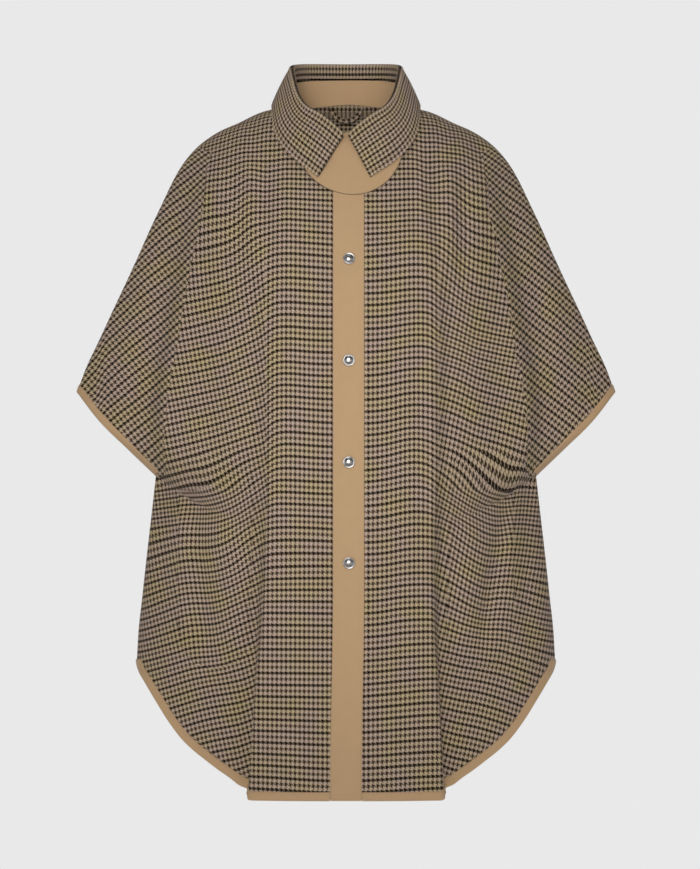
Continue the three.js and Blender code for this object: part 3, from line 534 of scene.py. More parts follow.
class Number:
    # A number that changes over a finish: sums on it become Math nodes
    def __init__(self, finish, socket):
        self.finish = finish
        self.socket = socket

    def combine(self, operation, *values):
        made = self.finish.node(
            "ShaderNodeMath", {"operation": operation}, dict(enumerate(values)))
        return Number(self.finish, made.outputs[0])

    def __add__(self, other):
        return self.combine("ADD", self, other)

    def __sub__(self, other):
        return self.combine("SUBTRACT", self, other)

    def __rsub__(self, other):
        return self.combine("SUBTRACT", other, self)

    def __mul__(self, other):
        return self.combine("MULTIPLY", self, other)

    def __truediv__(self, other):
        return self.combine("DIVIDE", self, other)

    __radd__ = __add__
    __rmul__ = __mul__

    def floor(self):
        return self.combine("FLOOR", self)

    def wrapped(self, period):
        return self.combine("FLOORED_MODULO", self, period)

    def below(self, limit):
        return self.combine("LESS_THAN", self, limit)


class Finish:
    # One material, with the shader's constants set on its own sockets
    def __init__(self, name, constants):
        self.material = bpy.data.materials.new(name)
        self.material.use_nodes = True
        self.tree = self.material.node_tree
        self.tree.nodes.clear()
        self.shader = self.node("ShaderNodeBsdfPrincipled", {}, {})
        output = self.node("ShaderNodeOutputMaterial", {}, {})
        self.tree.links.new(self.shader.outputs[0], output.inputs[0])
        for label, value in constants.items():
            self.shader.inputs[label].default_value = value

    def node(self, kind, settings, values):
        made = self.tree.nodes.new(kind)
        for label, value in settings.items():
            setattr(made, label, value)
        for label, value in values.items():
            if isinstance(value, Number):
                value = value.socket
            if isinstance(value, bpy.types.NodeSocket):
                self.tree.links.new(value, made.inputs[label])
            else:
                made.inputs[label].default_value = value
        return made

    def weave_places(self):
        place = self.node("ShaderNodeUVMap", {"uv_map": "weave"}, {})
        parts = self.node("ShaderNodeSeparateXYZ", {}, {0: place.outputs[0]})
        return Number(self, parts.outputs[0]), Number(self, parts.outputs[1]), place.outputs[0]

    def object_places(self):
        return self.node("ShaderNodeTexCoord", {}, {}).outputs["Object"]

    def noise(self, vector, scale, detail):
        made = self.node("ShaderNodeTexNoise", {}, {
            "Vector": vector, "Scale": scale, "Detail": detail})
        return Number(self, made.outputs[0])

    def grey(self, level):
        return self.node("ShaderNodeCombineColor", {}, {0: level, 1: level, 2: level}).outputs[0]

    def mix(self, factor, first, second, blend="MIX"):
        made = self.node("ShaderNodeMix", {"data_type": "RGBA", "blend_type": blend}, {
            0: factor, 6: first, 7: second})
        return made.outputs[2]

    def feed(self, label, value):
        socket = value.socket if isinstance(value, Number) else value
        self.tree.links.new(socket, self.shader.inputs[label])

    def bump(self, height, strength, distance):
        made = self.node("ShaderNodeBump", {}, {
            "Height": height, "Strength": strength, "Distance": distance})
        self.feed("Normal", made.outputs[0])


# The check: groups of four yarns, dark, light, middle and light, in a two and two twill
WARP_PITCH = 0.000713
WEFT_PITCH = 0.000925
DARK_WEFT = (0.009, 0.004, 0.002, 1)
DARK_WARP = (0.016, 0.009, 0.005, 1)
LIGHT_YARN = (0.455, 0.360, 0.285, 1)
MIDDLE_WEFT = (0.038, 0.024, 0.016, 1)
MIDDLE_WARP = (0.049, 0.031, 0.020, 1)

check = Finish("wool_check", {
    "Roughness": 0.95, "Sheen Weight": 0.03, "Sheen Roughness": 0.6,
    "Specular IOR Level": 0.05})
u, v, place = check.weave_places()
warp_yarn = (u / WARP_PITCH).floor()
weft_yarn = (v / WEFT_PITCH).floor()
dark_weft = weft_yarn.wrapped(16).below(4)
warp_colour = check.mix((warp_yarn + 8).wrapped(16).below(4), LIGHT_YARN, MIDDLE_WARP)
warp_colour = check.mix(warp_yarn.wrapped(16).below(4), warp_colour, DARK_WARP)
weft_colour = check.mix((weft_yarn + 8).wrapped(16).below(4), LIGHT_YARN, MIDDLE_WEFT)
weft_colour = check.mix(dark_weft, weft_colour, DARK_WEFT)
warp_on_top = (warp_yarn + weft_yarn).wrapped(4).below(2 - dark_weft)
woven = check.mix(warp_on_top, weft_colour, warp_colour)
drift = (check.noise(place, 26, 1.0) - 0.5) * 2.6 + 0.66
tinted = check.mix(drift, (1.02, 1.02, 0.72, 1), (1.0, 0.955, 0.955, 1))
woven = check.mix(1.0, woven, tinted, "MULTIPLY")
fibre = check.noise(place, 1700, 2.0)
shade = 0.74 + fibre * 0.52
check.feed("Base Color", check.mix(1.0, woven, check.grey(shade), "MULTIPLY"))
across_yarn = (u / WARP_PITCH).wrapped(1) - 0.5
along_yarn = (v / WEFT_PITCH).wrapped(1) - 0.5
warp_round = 1 - across_yarn * across_yarn * 4
weft_round = 1 - along_yarn * along_yarn * 4
yarn_height = warp_round * warp_on_top + weft_round * (1 - warp_on_top)
check.bump(yarn_height * 0.5 + fibre * 0.5, 0.35, 0.0004)

panels = {(face, side): half_panel(face, side) for face in ("front", "back") for side in (-1, 1)}
OUT = {"front": np.array([0, -1, 0.0]), "back": np.array([0, 1, 0.0])}
for panel_key, panel in panels.items():
    panel["normals"] = grid_normals(panel["points"], OUT[panel_key[0]])

fronts = {}
for name, side in (("front_left", -1), ("front_right", 1)):
    panel = panels["front", side]
    fronts[name] = wall_mesh(
        name + "_cloth", panel["points"], panel["points"] - WALL * panel["normals"],
        panel["weaves"], check.material, panel["fields"])
    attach(fronts[name], "root")
    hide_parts(name)


def both_halves(left, right):
    return np.concatenate([left[:, :0:-1], right], 1)


left, right = panels["back", -1], panels["back", 1]
middle = (left["points"][:, 0] + right["points"][:, 0]) / 2
for half in (left, right):
    half["points"][:, 0] = middle
back_points = both_halves(left["points"], right["points"])
back_normals = grid_normals(back_points, OUT["back"])
back_weaves = [(both_halves(a, c), both_halves(b, d))
               for (a, b), (c, d) in zip(left["weaves"], right["weaves"])]
back_fields = np.concatenate([left["fields"][:, ::-1], right["fields"]], 1)
back_cloth = wall_mesh("back_cloth", back_points, back_points - WALL * back_normals,
                       back_weaves, check.material, back_fields)
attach(back_cloth, "root")
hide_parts("back")

# Each lies about 0.8 mm off the front, and its slanting mouth stands a little open.
POCKET_GAP = 0.7
POCKET_WALL = 1.5
POCKET_MOUTH = 3.5
POCKET_OUTER_X = 214
STITCH_LIFT = 0.15
pocket_top = curve([0, 0.25, 0.5, 0.8, 1], [-440, -452, -470, -481, -481])
pocket_low = curve([0, 0.2, 0.5, 0.75, 0.92, 1], [-686, -697, -706, -703, -694, -686])


def front_frame(side, x, z):
    drop = drop_at("front", x, z)
    point = surface("front", side, x, drop)
    along = surface("front", side, x + 1.5, drop) - point
    down = surface("front", side, x, drop + 3) - point
    normal = np.cross(along, down)
    normal /= np.linalg.norm(normal, axis=-1, keepdims=True)
    return point, np.where(normal[..., 1:2] > 0, -normal, normal)


seam_lines = {"pockets": [], "placket": [], "collar": [], "bindings": [], "half_moon": []}
pocket_rows = np.linspace(0, 1, 64)
pocket_columns = np.linspace(0, 1, 40)
for name, side in (("pocket_left", -1), ("pocket_right", 1)):
    share, depth = np.meshgrid(pocket_columns, pocket_rows)
    z = pocket_top(share) + (pocket_low(share) - pocket_top(share)) * depth
    inner_x = fold_at(side, -z) + FOLDS["width"](-z) + 5
    outer_x = POCKET_OUTER_X - 10 * np.maximum(0, (-z - 600) / 100) ** 2
    x = inner_x + (outer_x - inner_x) * share
    point, normal = front_frame(side, x, z)
    mouth = POCKET_MOUTH * np.exp(-((depth / 0.09) ** 2)) * np.sin(np.pi * share)
    edge = np.minimum(np.minimum(share, 1 - share) * 90, (1 - depth) * 220)
    turned = 0.6 * np.exp(-((edge / 1.5) ** 2))
    lift = (POCKET_GAP + POCKET_WALL + mouth - turned)[..., None]
    outer = point + normal * lift
    steps = np.linalg.norm(np.diff(outer[..., [0, 1]], axis=1), axis=-1)
    warp = np.zeros(x.shape)
    warp[:, 1:] = np.cumsum(steps, 1)
    warp = side * (warp + x[:, :1] + flank_shift(z))
    pocket = wall_mesh(name + "_cloth", outer, outer - normal * (POCKET_WALL - 0.1),
                       [(warp, weft_at("front", side, x, z))], check.material)
    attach(pocket, "root")
    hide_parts(name)
    fronts["front" + name[6:]]
    inset = 2
    ring = np.concatenate([
        outer[:-inset, 1], outer[-inset, 1:-2], outer[-inset:0:-1, -2]])
    ring_normals = np.concatenate([
        normal[:-inset, 1], normal[-inset, 1:-2], normal[-inset:0:-1, -2]])
    seam_lines["pockets"].append((ring + ring_normals * STITCH_LIFT, ring_normals))
    seam_lines["pockets"].append(
        (outer[2, 1:-1] + normal[2, 1:-1] * STITCH_LIFT, normal[2, 1:-1]))

# Bindings: a folded strip of plain tan cloth over each cuff and each hem edge, edge-stitched.
# The cuff strips run round the whole opening, and the hem has a strip on each panel.
BIND_WIDTH = 9.0
BIND_PUFF = 1.25
BIND_RADIUS = (WALL + 2 * BIND_PUFF) / 2
BIND_CLEAR = 0.03
TAN = (0.425, 0.277, 0.148, 1)
TAN_LIGHT = (0.485, 0.325, 0.182, 1)
TWILL_PITCH = 0.0011


# level scales the colour: 1.0 gives the cloth's own tan, more gives a lit copy with painted light
def tan_cloth(name, level):
    made = Finish(name, {"Roughness": 0.88, "Sheen Weight": 0.12, "Sheen Roughness": 0.5,
                         "Specular IOR Level": 0.15})
    u, v, place = made.weave_places()
    ribs = ((u + v) / TWILL_PITCH).wrapped(1) - 0.5
    rib_height = 1 - ribs * ribs * 4
    mottle = made.noise(place, 60, 3.0)
    nap = made.noise(place, 1500, 2.0)
    colour = made.mix(mottle * 0.55 + nap * 0.45, TAN, TAN_LIGHT)
    # Painted shade: the colour darkens in the grooves between the ribs, and level then scales it
    painted_rib_shade_and_light = (0.93 + rib_height * 0.09) * level
    made.feed("Base Color", made.mix(1.0, colour, made.grey(painted_rib_shade_and_light), "MULTIPLY"))
    made.bump(rib_height * 0.45 + nap * 0.55, 0.25, 0.0003)
    return made


tan = tan_cloth("tan_twill", 1.0)

PROFILE = table("share lift", [
    (0.0, 0.25), (0.02, 0.6), (0.08, 0.95), (0.18, 0.9), (0.35, 1.2), (0.6, 1.3), (0.85, 1.25),
    (1.0, 1.2)])


# One section of a strip, from points of the cloth between the strip's inner line and the edge
def binding_ring(base, normal, out):
    lift = np.array(PROFILE["lift"])[:, None]
    outer_face = base + normal * lift
    under_face = base - normal * (WALL + lift)
    edge, edge_normal = base[-1], normal[-1]
    centre = edge - edge_normal * WALL / 2
    turns = np.linspace(0, math.pi, 9)[1:-1, None]
    bend = centre + (edge_normal * np.cos(turns) + out * np.sin(turns)) * BIND_RADIUS
    inside = base - normal * (WALL + BIND_CLEAR)
    outside = base + normal * BIND_CLEAR
    tip = np.array([edge - edge_normal * (WALL + BIND_CLEAR) + out * 0.1,
                    edge + edge_normal * BIND_CLEAR + out * 0.1])
    return np.concatenate([outer_face, bend, under_face[::-1], inside, tip, outside[::-1]])


def unit(vectors):
    return vectors / np.maximum(1e-9, np.linalg.norm(vectors, axis=-1, keepdims=True))


LOFT_SHARP_ANGLE = 60


# Closed solid through rings of points, each with the same count
def loft(name, rings, material):
    rings = np.array(rings)
    count, around = rings.shape[:2]
    index = np.arange(count * around).reshape(count, around)
    turned = np.roll(index, -1, 1)
    faces = np.stack([index[:-1], turned[:-1], turned[1:], index[1:]], -1).reshape(-1, 4)
    points = rings.reshape(-1, 3) * TO_METRES
    if enclosed(points, faces) < 0:
        faces = faces[:, ::-1]
        ends = [index[0].tolist(), index[-1, ::-1].tolist()]
    else:
        ends = [index[0, ::-1].tolist(), index[-1].tolist()]
    mesh = bpy.data.meshes.new(name)
    mesh.from_pydata(points.tolist(), [], faces.tolist() + ends)
    along = np.zeros((count, around))
    along[1:] = np.cumsum(np.linalg.norm(np.diff(rings, axis=0), axis=-1).mean(1))[:, None]
    across = np.zeros((count, around))
    across[:, 1:] = np.cumsum(np.linalg.norm(np.diff(rings, axis=1), axis=-1), 1)
    corners = np.zeros(len(mesh.loops), int)
    mesh.loops.foreach_get("vertex_index", corners)
    uv = np.stack([across.ravel()[corners], along.ravel()[corners]], -1)
    return placed(name, mesh, uv, material, LOFT_SHARP_ANGLE)


def binding(name, node, base, normal, out, flat):
    edge_normal = normal[:, -1]
    out = unit(out - edge_normal * np.sum(out * edge_normal, -1, keepdims=True))
    rings = [binding_ring(*row) for row in zip(base, normal, out)]
    made = loft(name, rings, tan.material)
    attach(made, "root")
    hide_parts(node)
    line_place = PROFILE["share"].index(0.18)
    line, line_normal = base[:, line_place], normal[:, line_place]
    seam_lines["bindings"].append((line + line_normal * 1.0, line_normal))
    seam_lines["bindings"].append((line - line_normal * (WALL + 1.0), -line_normal))


# Outward normal of a face near one of its edges, from the face's own points
def face_frame(face, side, x, drop):
    point = surface(face, side, x, drop)
    near = np.maximum(x - 1.5, 0)
    along = (point - surface(face, side, near, drop)) * side
    down = surface(face, side, x, np.minimum(drop + 2, HEM)) \
        - surface(face, side, x, np.minimum(drop + 2, HEM) - 4)
    normal = np.cross(along, down)
    flip = np.where(normal[..., 1:2] * OUT[face][1] < 0, -1, 1)
    return point, unit(normal * flip)


def strip_base(face, side, in_x, in_z, edge_x, edge_z, edge_drop):
    share = np.array(PROFILE["share"])
    x = in_x[:, None] + (edge_x - in_x)[:, None] * share
    z = in_z[:, None] + (edge_z - in_z)[:, None] * share
    drop = drop_at(face, x, z)
    drop[:, -1] = edge_drop
    return face_frame(face, side, x, drop)


# The front strips start beside the placket, whose low end drifts to the left
STRIP_START = 19.9
PLACKET_DRIFT = 3.2


def hem_strip(face, side, start):
    edge_x = float(side_at(HEM)[0])
    x = start + (edge_x - start) * np.sin(np.linspace(0, np.pi / 2, 150))
    far, near = np.minimum(x + 0.8, edge_x), np.maximum(x - 0.8, 0)
    lift = np.arctan2(section_z(face, far, HEM) - section_z(face, near, HEM), far - near)
    edge_z = section_z(face, x, HEM)
    in_x = np.maximum(start, x - np.sin(lift) * BIND_WIDTH)
    in_z = edge_z + np.cos(lift) * BIND_WIDTH
    base, normal = strip_base(face, side, in_x, in_z, x, edge_z, HEM)
    base[-1, -1, 1] = OUT[face][1] * SEAM / 2
    if start < 1:
        normal[0, :, 0] = 0
    out = np.stack([side * np.sin(lift), np.zeros(len(x)), -np.cos(lift)], -1)
    return base, unit(normal), out


for name, side in (("left", -1), ("right", 1)):
    binding("hem_binding_" + name + "_strip", "hem_binding_" + name,
            *hem_strip("front", side, STRIP_START - side * PLACKET_DRIFT), flat=(0.026, 0.38))
left_hem, right_hem = hem_strip("back", -1, SEAM), hem_strip("back", 1, SEAM)
whole_hem = [np.concatenate([a[:0:-1], b]) for a, b in zip(left_hem, right_hem)]
binding("hem_binding_back_strip", "hem_binding_back", *whole_hem, flat=(0.026, 0.8))


CUFF_WIDTH = 8.0
RIDGE_DROP = 399.6


def cuff_strip(face, side):
    share = np.linspace(0.04, 1, 60) ** 1.7
    drop = CUFF_TOP + (CUFF_END - CUFF_TOP) * share
    edge_x, edge_z = side_at(drop)
    in_x, in_z = edge_x - 0.7 * CUFF_WIDTH, edge_z + 0.714 * CUFF_WIDTH
    return strip_base(face, side, in_x, in_z, edge_x, edge_z, drop)


for name, side in (("left", -1), ("right", 1)):
    front_base, front_normal = cuff_strip("front", side)
    back_base, back_normal = cuff_strip("back", side)
    ridge_drop = RIDGE_DROP + (CUFF_TOP - RIDGE_DROP) * np.array(PROFILE["share"])
    ridge_x, ridge_z = side_at(ridge_drop)
    ridge = np.stack([side * ridge_x, 0 * ridge_x, ridge_z], -1)[None]
    ridge_normal = np.tile([side * 0.94, 0, 0.34], (1, len(ridge_drop), 1))
    base = np.concatenate([front_base[::-1], ridge, back_base])
    normal = np.concatenate([front_normal[::-1], ridge_normal, back_normal])
    out = np.tile([side * 0.7, 0, -0.714], (len(base), 1))
    binding("cuff_binding_" + name + "_strip", "cuff_binding_" + name, base, normal, out,
            flat=(0.026, 0.42))

# Placket: one tan strip over the closed front opening, from the half-moon to the hem's edge.
# It is stitched down along both edges, 2 mm in.
PLACKET_HALF = 19.5
PLACKET_WALL = 1.5
PLACKET_TOP = -106
PLACKET_BELOW = 1.7
STITCH_IN = 2.2
DRIFT_TOP = 600
DRIFT_LENGTH = 250
across = np.linspace(-PLACKET_HALF, PLACKET_HALF, 33)
down = np.linspace(PLACKET_TOP, -HEM, 230)


def both_fronts(x, z):
    drop = drop_at("front", np.abs(x), z)
    left = surface("front", -1, np.abs(x), drop)
    right = surface("front", 1, np.abs(x), drop)
    return np.where((x < 0)[..., None], left, right)


def over_opening(across, down):
    x, z = np.meshgrid(across, down)
    point = both_fronts(x, z)
    point[..., 0] -= PLACKET_DRIFT * smooth((-z - DRIFT_TOP) / DRIFT_LENGTH)
    return point, grid_normals(point, OUT["front"]), x, z


point, normal, x, z = over_opening(across, down)
rounding = 0.8 * np.exp(-(((PLACKET_HALF - np.abs(x)) / 0.9) ** 2))
ripple = 0.18 * np.sin(z / 9.1 + 2 * np.sin(z / 37)) * np.exp(-(((np.abs(x) - 16) / 3) ** 2))
outer = point + normal * (SEAM + PLACKET_WALL - rounding + ripple)[..., None]
under = point + normal * SEAM
outer[-1] += [0, 0.4, -PLACKET_BELOW]
under[-1] += [0, 0, -PLACKET_BELOW]
placket = wall_mesh("placket_strip", outer, under, [(x, z)], tan.material)
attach(placket, "root")
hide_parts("placket")
for x_line in (-PLACKET_HALF + STITCH_IN, PLACKET_HALF - STITCH_IN):
    point, normal, _, _ = over_opening(np.array([x_line - 1, x_line, x_line + 1]), down)
    line = point[:, 1] + normal[:, 1] * (SEAM + PLACKET_WALL + 0.1)
    seam_lines["placket"].append((line, normal[:, 1]))

# Half-moon facing of the same tan cloth on the chest, under the collar's points.
# Its curved lower edge lies over the top of the placket and is stitched close to the edge.
BIB = {"x": 5, "z": -45, "wide": 66, "deep": 65, "gap": 2.2, "wall": 1.4}
BIB_TURN = math.radians(85)
BIB_RISE = 12
BIB_TOP_HALF = 50
turn = np.linspace(-BIB_TURN, BIB_TURN, 61)
share = np.linspace(0, 1, 26)[:, None]


def bib_points(turn, share):
    low_x = BIB["x"] + BIB["wide"] * np.sin(turn)
    low_z = BIB["z"] - BIB["deep"] * np.cos(turn)
    start_x = turn / BIB_TURN * BIB_TOP_HALF
    start_drop = NECK + 4 - BIB_RISE * (1 - smooth(np.abs(start_x) / 22))
    start_z = section_z("front", np.abs(start_x), start_drop)
    x = start_x + (low_x - start_x) * share
    z = start_z + (low_z - start_z) * share
    return both_fronts(x, z), x, z


point, x, z = bib_points(turn, share)
normal = grid_normals(point, OUT["front"])
rim = 0.8 * np.exp(-(((1 - share) * BIB["deep"] / 0.9) ** 2)) + 0 * x
gap = (0.2 + (BIB["gap"] - 0.2) * smooth(share * 6) + 0 * x)[..., None]
outer = point + normal * (gap + BIB["wall"] - rim[..., None])
bib = wall_mesh("bib_facing", outer, point + normal * gap, [(x, z)], tan.material)
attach(bib, "root")
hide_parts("bib")
line_row = int(round((1 - 1.8 / BIB["deep"]) * (len(share) - 1)))
seam_lines["placket"].append((outer[line_row] + normal[line_row] * 0.12, normal[line_row]))
# Painted shadow: a thick row of dark brown stitches right on the edge stands for the shade under
# the half-moon, partly as a seam
seam_lines["half_moon"].append((outer[-1] - normal[-1] * 0.1, normal[-1]))

# Snaps: four pressed metal caps down the placket, each a domed cap in a rolled rim.
# They are fixed through the strip.
SNAP_Z = (-191.4, -318.7, -445.9, -571.3)
CAP = table("r h", [
    (0.0, 0.0), (7.1, 0.0), (7.45, 0.25), (7.5, 0.7), (7.3, 1.25), (6.9, 1.6), (6.35, 1.62),
    (5.95, 1.42), (5.75, 1.45), (5.4, 1.85), (4.6, 2.5), (3.4, 3.0), (1.8, 3.25), (0.0, 3.32)])
metal = Finish("snap_metal", {"Metallic": 1.0})
scuffs = metal.noise(metal.object_places(), 900, 3.0)
metal.feed("Roughness", scuffs * 0.22 + 0.12)
# Painted reflection: the caps' colour is held dark to stand for dark surroundings mirrored in the
# metal; the scuffs noise varies it and the roughness at random
metal.feed("Base Color", metal.mix(scuffs, (0.20, 0.19, 0.18, 1), (0.36, 0.35, 0.34, 1)))
metal.bump(scuffs, 0.05, 0.0002)
for number, z in enumerate(SNAP_Z, 1):
    point, normal, _, _ = over_opening(np.array([-1.0, 0, 1.0]), np.array([z + 3, z, z - 3]))
    n = normal[1, 1]
    up = unit(point[0, 1] - point[2, 1])
    side_way = np.cross(up, n)
    base = point[1, 1] + n * (SEAM + PLACKET_WALL + 0.35)
    turns = np.linspace(0, 2 * math.pi, 40, endpoint=False)
    circle = np.cos(turns)[:, None] * side_way + np.sin(turns)[:, None] * up
    rings = [base + n * h + circle * max(r, 0.02) for r, h in zip(CAP["r"], CAP["h"])]
    snap = loft("snap_cap_%d" % number, rings, metal.material)
    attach(snap, "root")
    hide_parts("snap_%d" % number)

# Collar stand: a tan band that rises inside the neck edge and carries the fall.
# It shows across the inside of the back neck.
ROLL = curves(table("turn x y z", [
    (0, 3.5, -87, -30), (0.12, 17, -86, -17), (0.24, 33, -80, -4), (0.38, 52, -67, 9),
    (0.5, 63, -50, 28), (0.62, 69, -28, 54), (0.72, 70.5, -3, 66), (0.82, 66, 26, 72),
    (0.91, 42, 52, 76), (1, 0, 63, 77)]), "turn")
STAND_SHARE = 0.61
STAND_FROM_X = 31
STAND_COLUMNS = 26
UP = np.array([0, 0, 1.0])


def roll_at(side, turn):
    shift = CENTRE_SHIFT * 0.7 * (1 - smooth(turn / 0.4))
    return np.stack([side * ROLL["x"](turn) + shift, ROLL["y"](turn), ROLL["z"](turn)], -1)


def neck_half(side):
    edge_x = float(side_at(NECK)[0])
    lines = []
    for face in ("front", "back"):
        first = STAND_FROM_X if face == "front" else 0.01
        x = first + (edge_x - first) * np.sin(np.linspace(0, np.pi / 2, STAND_COLUMNS))
        neck_drop = np.full(STAND_COLUMNS, float(NECK))
        point, normal = face_frame(face, side, np.minimum(x, edge_x - 0.2), neck_drop)
        lines.append((point, normal))
    line = np.concatenate([lines[0][0][:-1], lines[1][0][::-1]])
    normals = np.concatenate([lines[0][1][:-1], lines[1][1][::-1]])
    angle = np.arctan2(np.abs(line[:, 0]), -line[:, 1]) / np.pi
    turn = angle**0.9 * 0.98 + 0.02 * angle
    top = roll_at(side, turn)
    inward = unit(normals * [1, 1, 0])
    foot = line + UP * (SEAM + 0.2)
    low = foot - normals * WALL
    rise = np.linspace(0, STAND_SHARE, 12)[:, None, None]
    outer = foot + (top - inward * 3.5 - foot) * rise
    inner = low + (top - inward * 5.5 - low) * rise
    return outer, inner


left, right = neck_half(-1), neck_half(1)
outer, inner = (np.concatenate([a[:, :-1], b[:, ::-1]], 1) for a, b in zip(left, right))
for _ in range(4):
    for grid in (outer, inner):
        grid[:, 1:-1] = (grid[:, :-2] + 2 * grid[:, 1:-1] + grid[:, 2:]) / 4
warp = np.zeros(outer.shape[:2])
warp[:, 1:] = np.cumsum(np.linalg.norm(np.diff(outer, axis=1), axis=-1).mean(0))
# Painted light: a copy of the tan painted 1.32 times lighter, for light falling inside the back
# neck
painted_light_tan = tan_cloth("tan_stand_twill_painted_light", 1.32)
stand = wall_mesh("collar_stand_cloth", outer, inner, [(warp, outer[..., 2])],
                  painted_light_tan.material)
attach(stand, "root")
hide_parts("collar_stand")

# Collar fall: one rolled piece of check, with a strip inside the neck, the roll and the leaf.
# The leaf's two points lie over the half-moon, and its check follows the outer edge.
LEAF = curves(table("turn share drop lift", [
    (0, 0.19, 91, 4.4), (0.12, 0.28, 84, 4.4), (0.24, 0.42, 75, 4.4), (0.38, 0.6, 62, 4.2),
    (0.5, 0.8, 49, 4), (0.62, 0.97, 41, 4.8), (0.7, 1, 39.5, 5.4), (0.78, 0.9, 42.5, 5),
    (0.87, 0.6, 52, 6), (0.94, 0.3, 58, 5), (1, 0, 60, 5)]), "turn")
FALL_WALL = 2.2
FALL_TURNS = np.linspace(0, 1, 70)
FALL_SMOOTHING = 5
LEAF_WEAVE = 1.3
LEAF_PHASE = 1.85
LEAF_COLUMN = 12
SHOULDER_TURN = 0.7
FRONT_TURN = 0.3


def leaf_edge(side, turn):
    face = "front" if turn <= SHOULDER_TURN else "back"
    drop = LEAF["drop"](turn)
    edge = side_at(drop)[0]
    x = min(edge - 0.5, LEAF["share"](turn) * edge)
    near = x + 3 if x < 3 else x - 3
    point = surface(face, side, x, drop)
    beside = surface(face, side, near, drop)
    below = surface(face, side, near, drop + 6)
    above = surface(face, side, near, drop - 6)
    normal = unit(np.cross(below - above, beside - point))
    if np.dot(normal, [point[0], point[1], 20]) < 0:
        normal = -normal
    top = smooth(1 - abs(turn - SHOULDER_TURN) / 0.08)
    normal = unit(normal * (1 - top) + np.array([side * 0.2, 0, 0.98]) * top)
    return point + normal * (LEAF["lift"](turn) + 1)


def fall_section(side, turn):
    top = roll_at(side, turn)
    edge = leaf_edge(side, turn)
    outward = unit(top * [1.05, 1, 0])
    inside = max(4, 18 * smooth((turn - FRONT_TURN) / 0.35))
    top[0] -= 2.8 * (1 - smooth(turn / FRONT_TURN))
    edge[0] -= 4.7 * (1 - smooth(turn / FRONT_TURN))
    points = [top - outward * 3 - UP * inside,
              top - outward * 3 - UP * (3 + 0.4 * (inside - 3)),
              top - outward * 2.4 - UP * 0.8, top, top + outward * 2.6 - UP]
    start = top + outward * 3.6 - UP * 4
    bulge = 3 + 2 * smooth((turn - 0.74) / 0.2)
    for share in (0, 0.25, 0.5, 0.75, 1):
        lift = bulge * math.sin(math.pi * share) * 0.8
        points.append(start + (edge - start) * share + outward * lift)
    return np.array(points)


def through_points(points, per_span):
    ends = np.concatenate([2 * points[:1] - points[1:2], points, 2 * points[-1:] - points[-2:-1]])
    found = []
    for k in range(len(points) - 1):
        a, b, c, d = ends[k : k + 4]
        for t in np.arange(per_span) / per_span:
            found.append(0.5 * (2 * b + (c - a) * t + (2 * a - 5 * b + 4 * c - d) * t * t
                                + (3 * b - a - 3 * c + d) * t**3))
    return np.array([*found, points[-1]])


left = [through_points(fall_section(-1, turn), 4) for turn in FALL_TURNS]
right = [through_points(fall_section(1, turn), 4) for turn in FALL_TURNS]
fall = np.array(left + right[-2::-1])
for _ in range(FALL_SMOOTHING):
    fall[1:-1] = (fall[:-2] + 2 * fall[1:-1] + fall[2:]) / 4
normal = grid_normals(fall, unit(fall * [1, 1, 0.2]))
warp = np.zeros(fall.shape[:2])
warp[1:] = np.cumsum(np.linalg.norm(np.diff(fall, axis=0), axis=-1)[:, 16:].mean(1))[:, None]
weft = np.zeros(fall.shape[:2])
weft[:, 1:] = np.cumsum(np.linalg.norm(np.diff(fall, axis=1), axis=-1), 1)
leaf_start = weft[:, LEAF_COLUMN : LEAF_COLUMN + 1]
leaf_share = np.clip((weft - leaf_start) / (weft[:, -1:] - leaf_start), 0, 1)
weft = (weft - leaf_start) * (1 + (LEAF_WEAVE - 1) * smooth(leaf_share * 2)) + LEAF_PHASE
weft = weft + (np.median(weft[:, -1]) - weft[:, -1:]) * leaf_share
collar = wall_mesh("collar_fall_cloth", fall + normal * FALL_WALL / 2,
                   fall - normal * FALL_WALL / 2, [(warp, weft)], check.material)
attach(collar, "root")
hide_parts("collar_fall")

# Hanger loop: a narrow folded strip of the check, sewn under the stand at the back neck.
LOOP_TUBE = (3.1, 1.7)
loop_line = through_points(np.array([
    (-19, 64.4, 20), (-17, 65.5, 14), (-12, 67.6, 8), (-5, 68.7, 4.5), (2, 68.9, 4),
    (9, 68.3, 6), (15, 66.9, 11), (19, 65.1, 17), (20, 64.1, 21)], float), 6)
along = unit(np.gradient(loop_line, axis=0))
depth_way = np.array([0, 1.0, 0])
turns = np.linspace(0, 2 * math.pi, 14, endpoint=False)
rings = []
for centre, direction in zip(loop_line, along):
    flat_way = np.cross(direction, depth_way)
    rings.append([centre + flat_way * LOOP_TUBE[0] * math.cos(t)
                  + depth_way * LOOP_TUBE[1] * math.sin(t) for t in turns])
loop = loft("hanger_loop_strip", rings, check.material)
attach(loop, "root")
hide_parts("hanger_loop")

# Stitches: rows of tan or brown thread along the sewn edges, each stitch a short bead; the thick
# brown row on the half-moon's edge is partly a seam and partly painted shadow.
# They are set by one rule from lines that lie on the cloth.
seam_lines["collar"].append((fall[2:-2, -3] + normal[2:-2, -3] * 1.2, normal[2:-2, -3]))


def thread_finish(name, roughness, dark, light):
    made = Finish(name, {"Roughness": roughness, "Sheen Weight": 0.1})
    made.feed("Base Color", made.mix(made.noise(made.object_places(), 2200, 2.0), dark, light))
    return made.material


tan_thread = thread_finish("tan_thread", 0.7, (0.40, 0.26, 0.135, 1), (0.55, 0.38, 0.215, 1))
brown_thread = thread_finish("brown_thread", 0.75, (0.05, 0.035, 0.022, 1),
                             (0.11, 0.08, 0.052, 1))


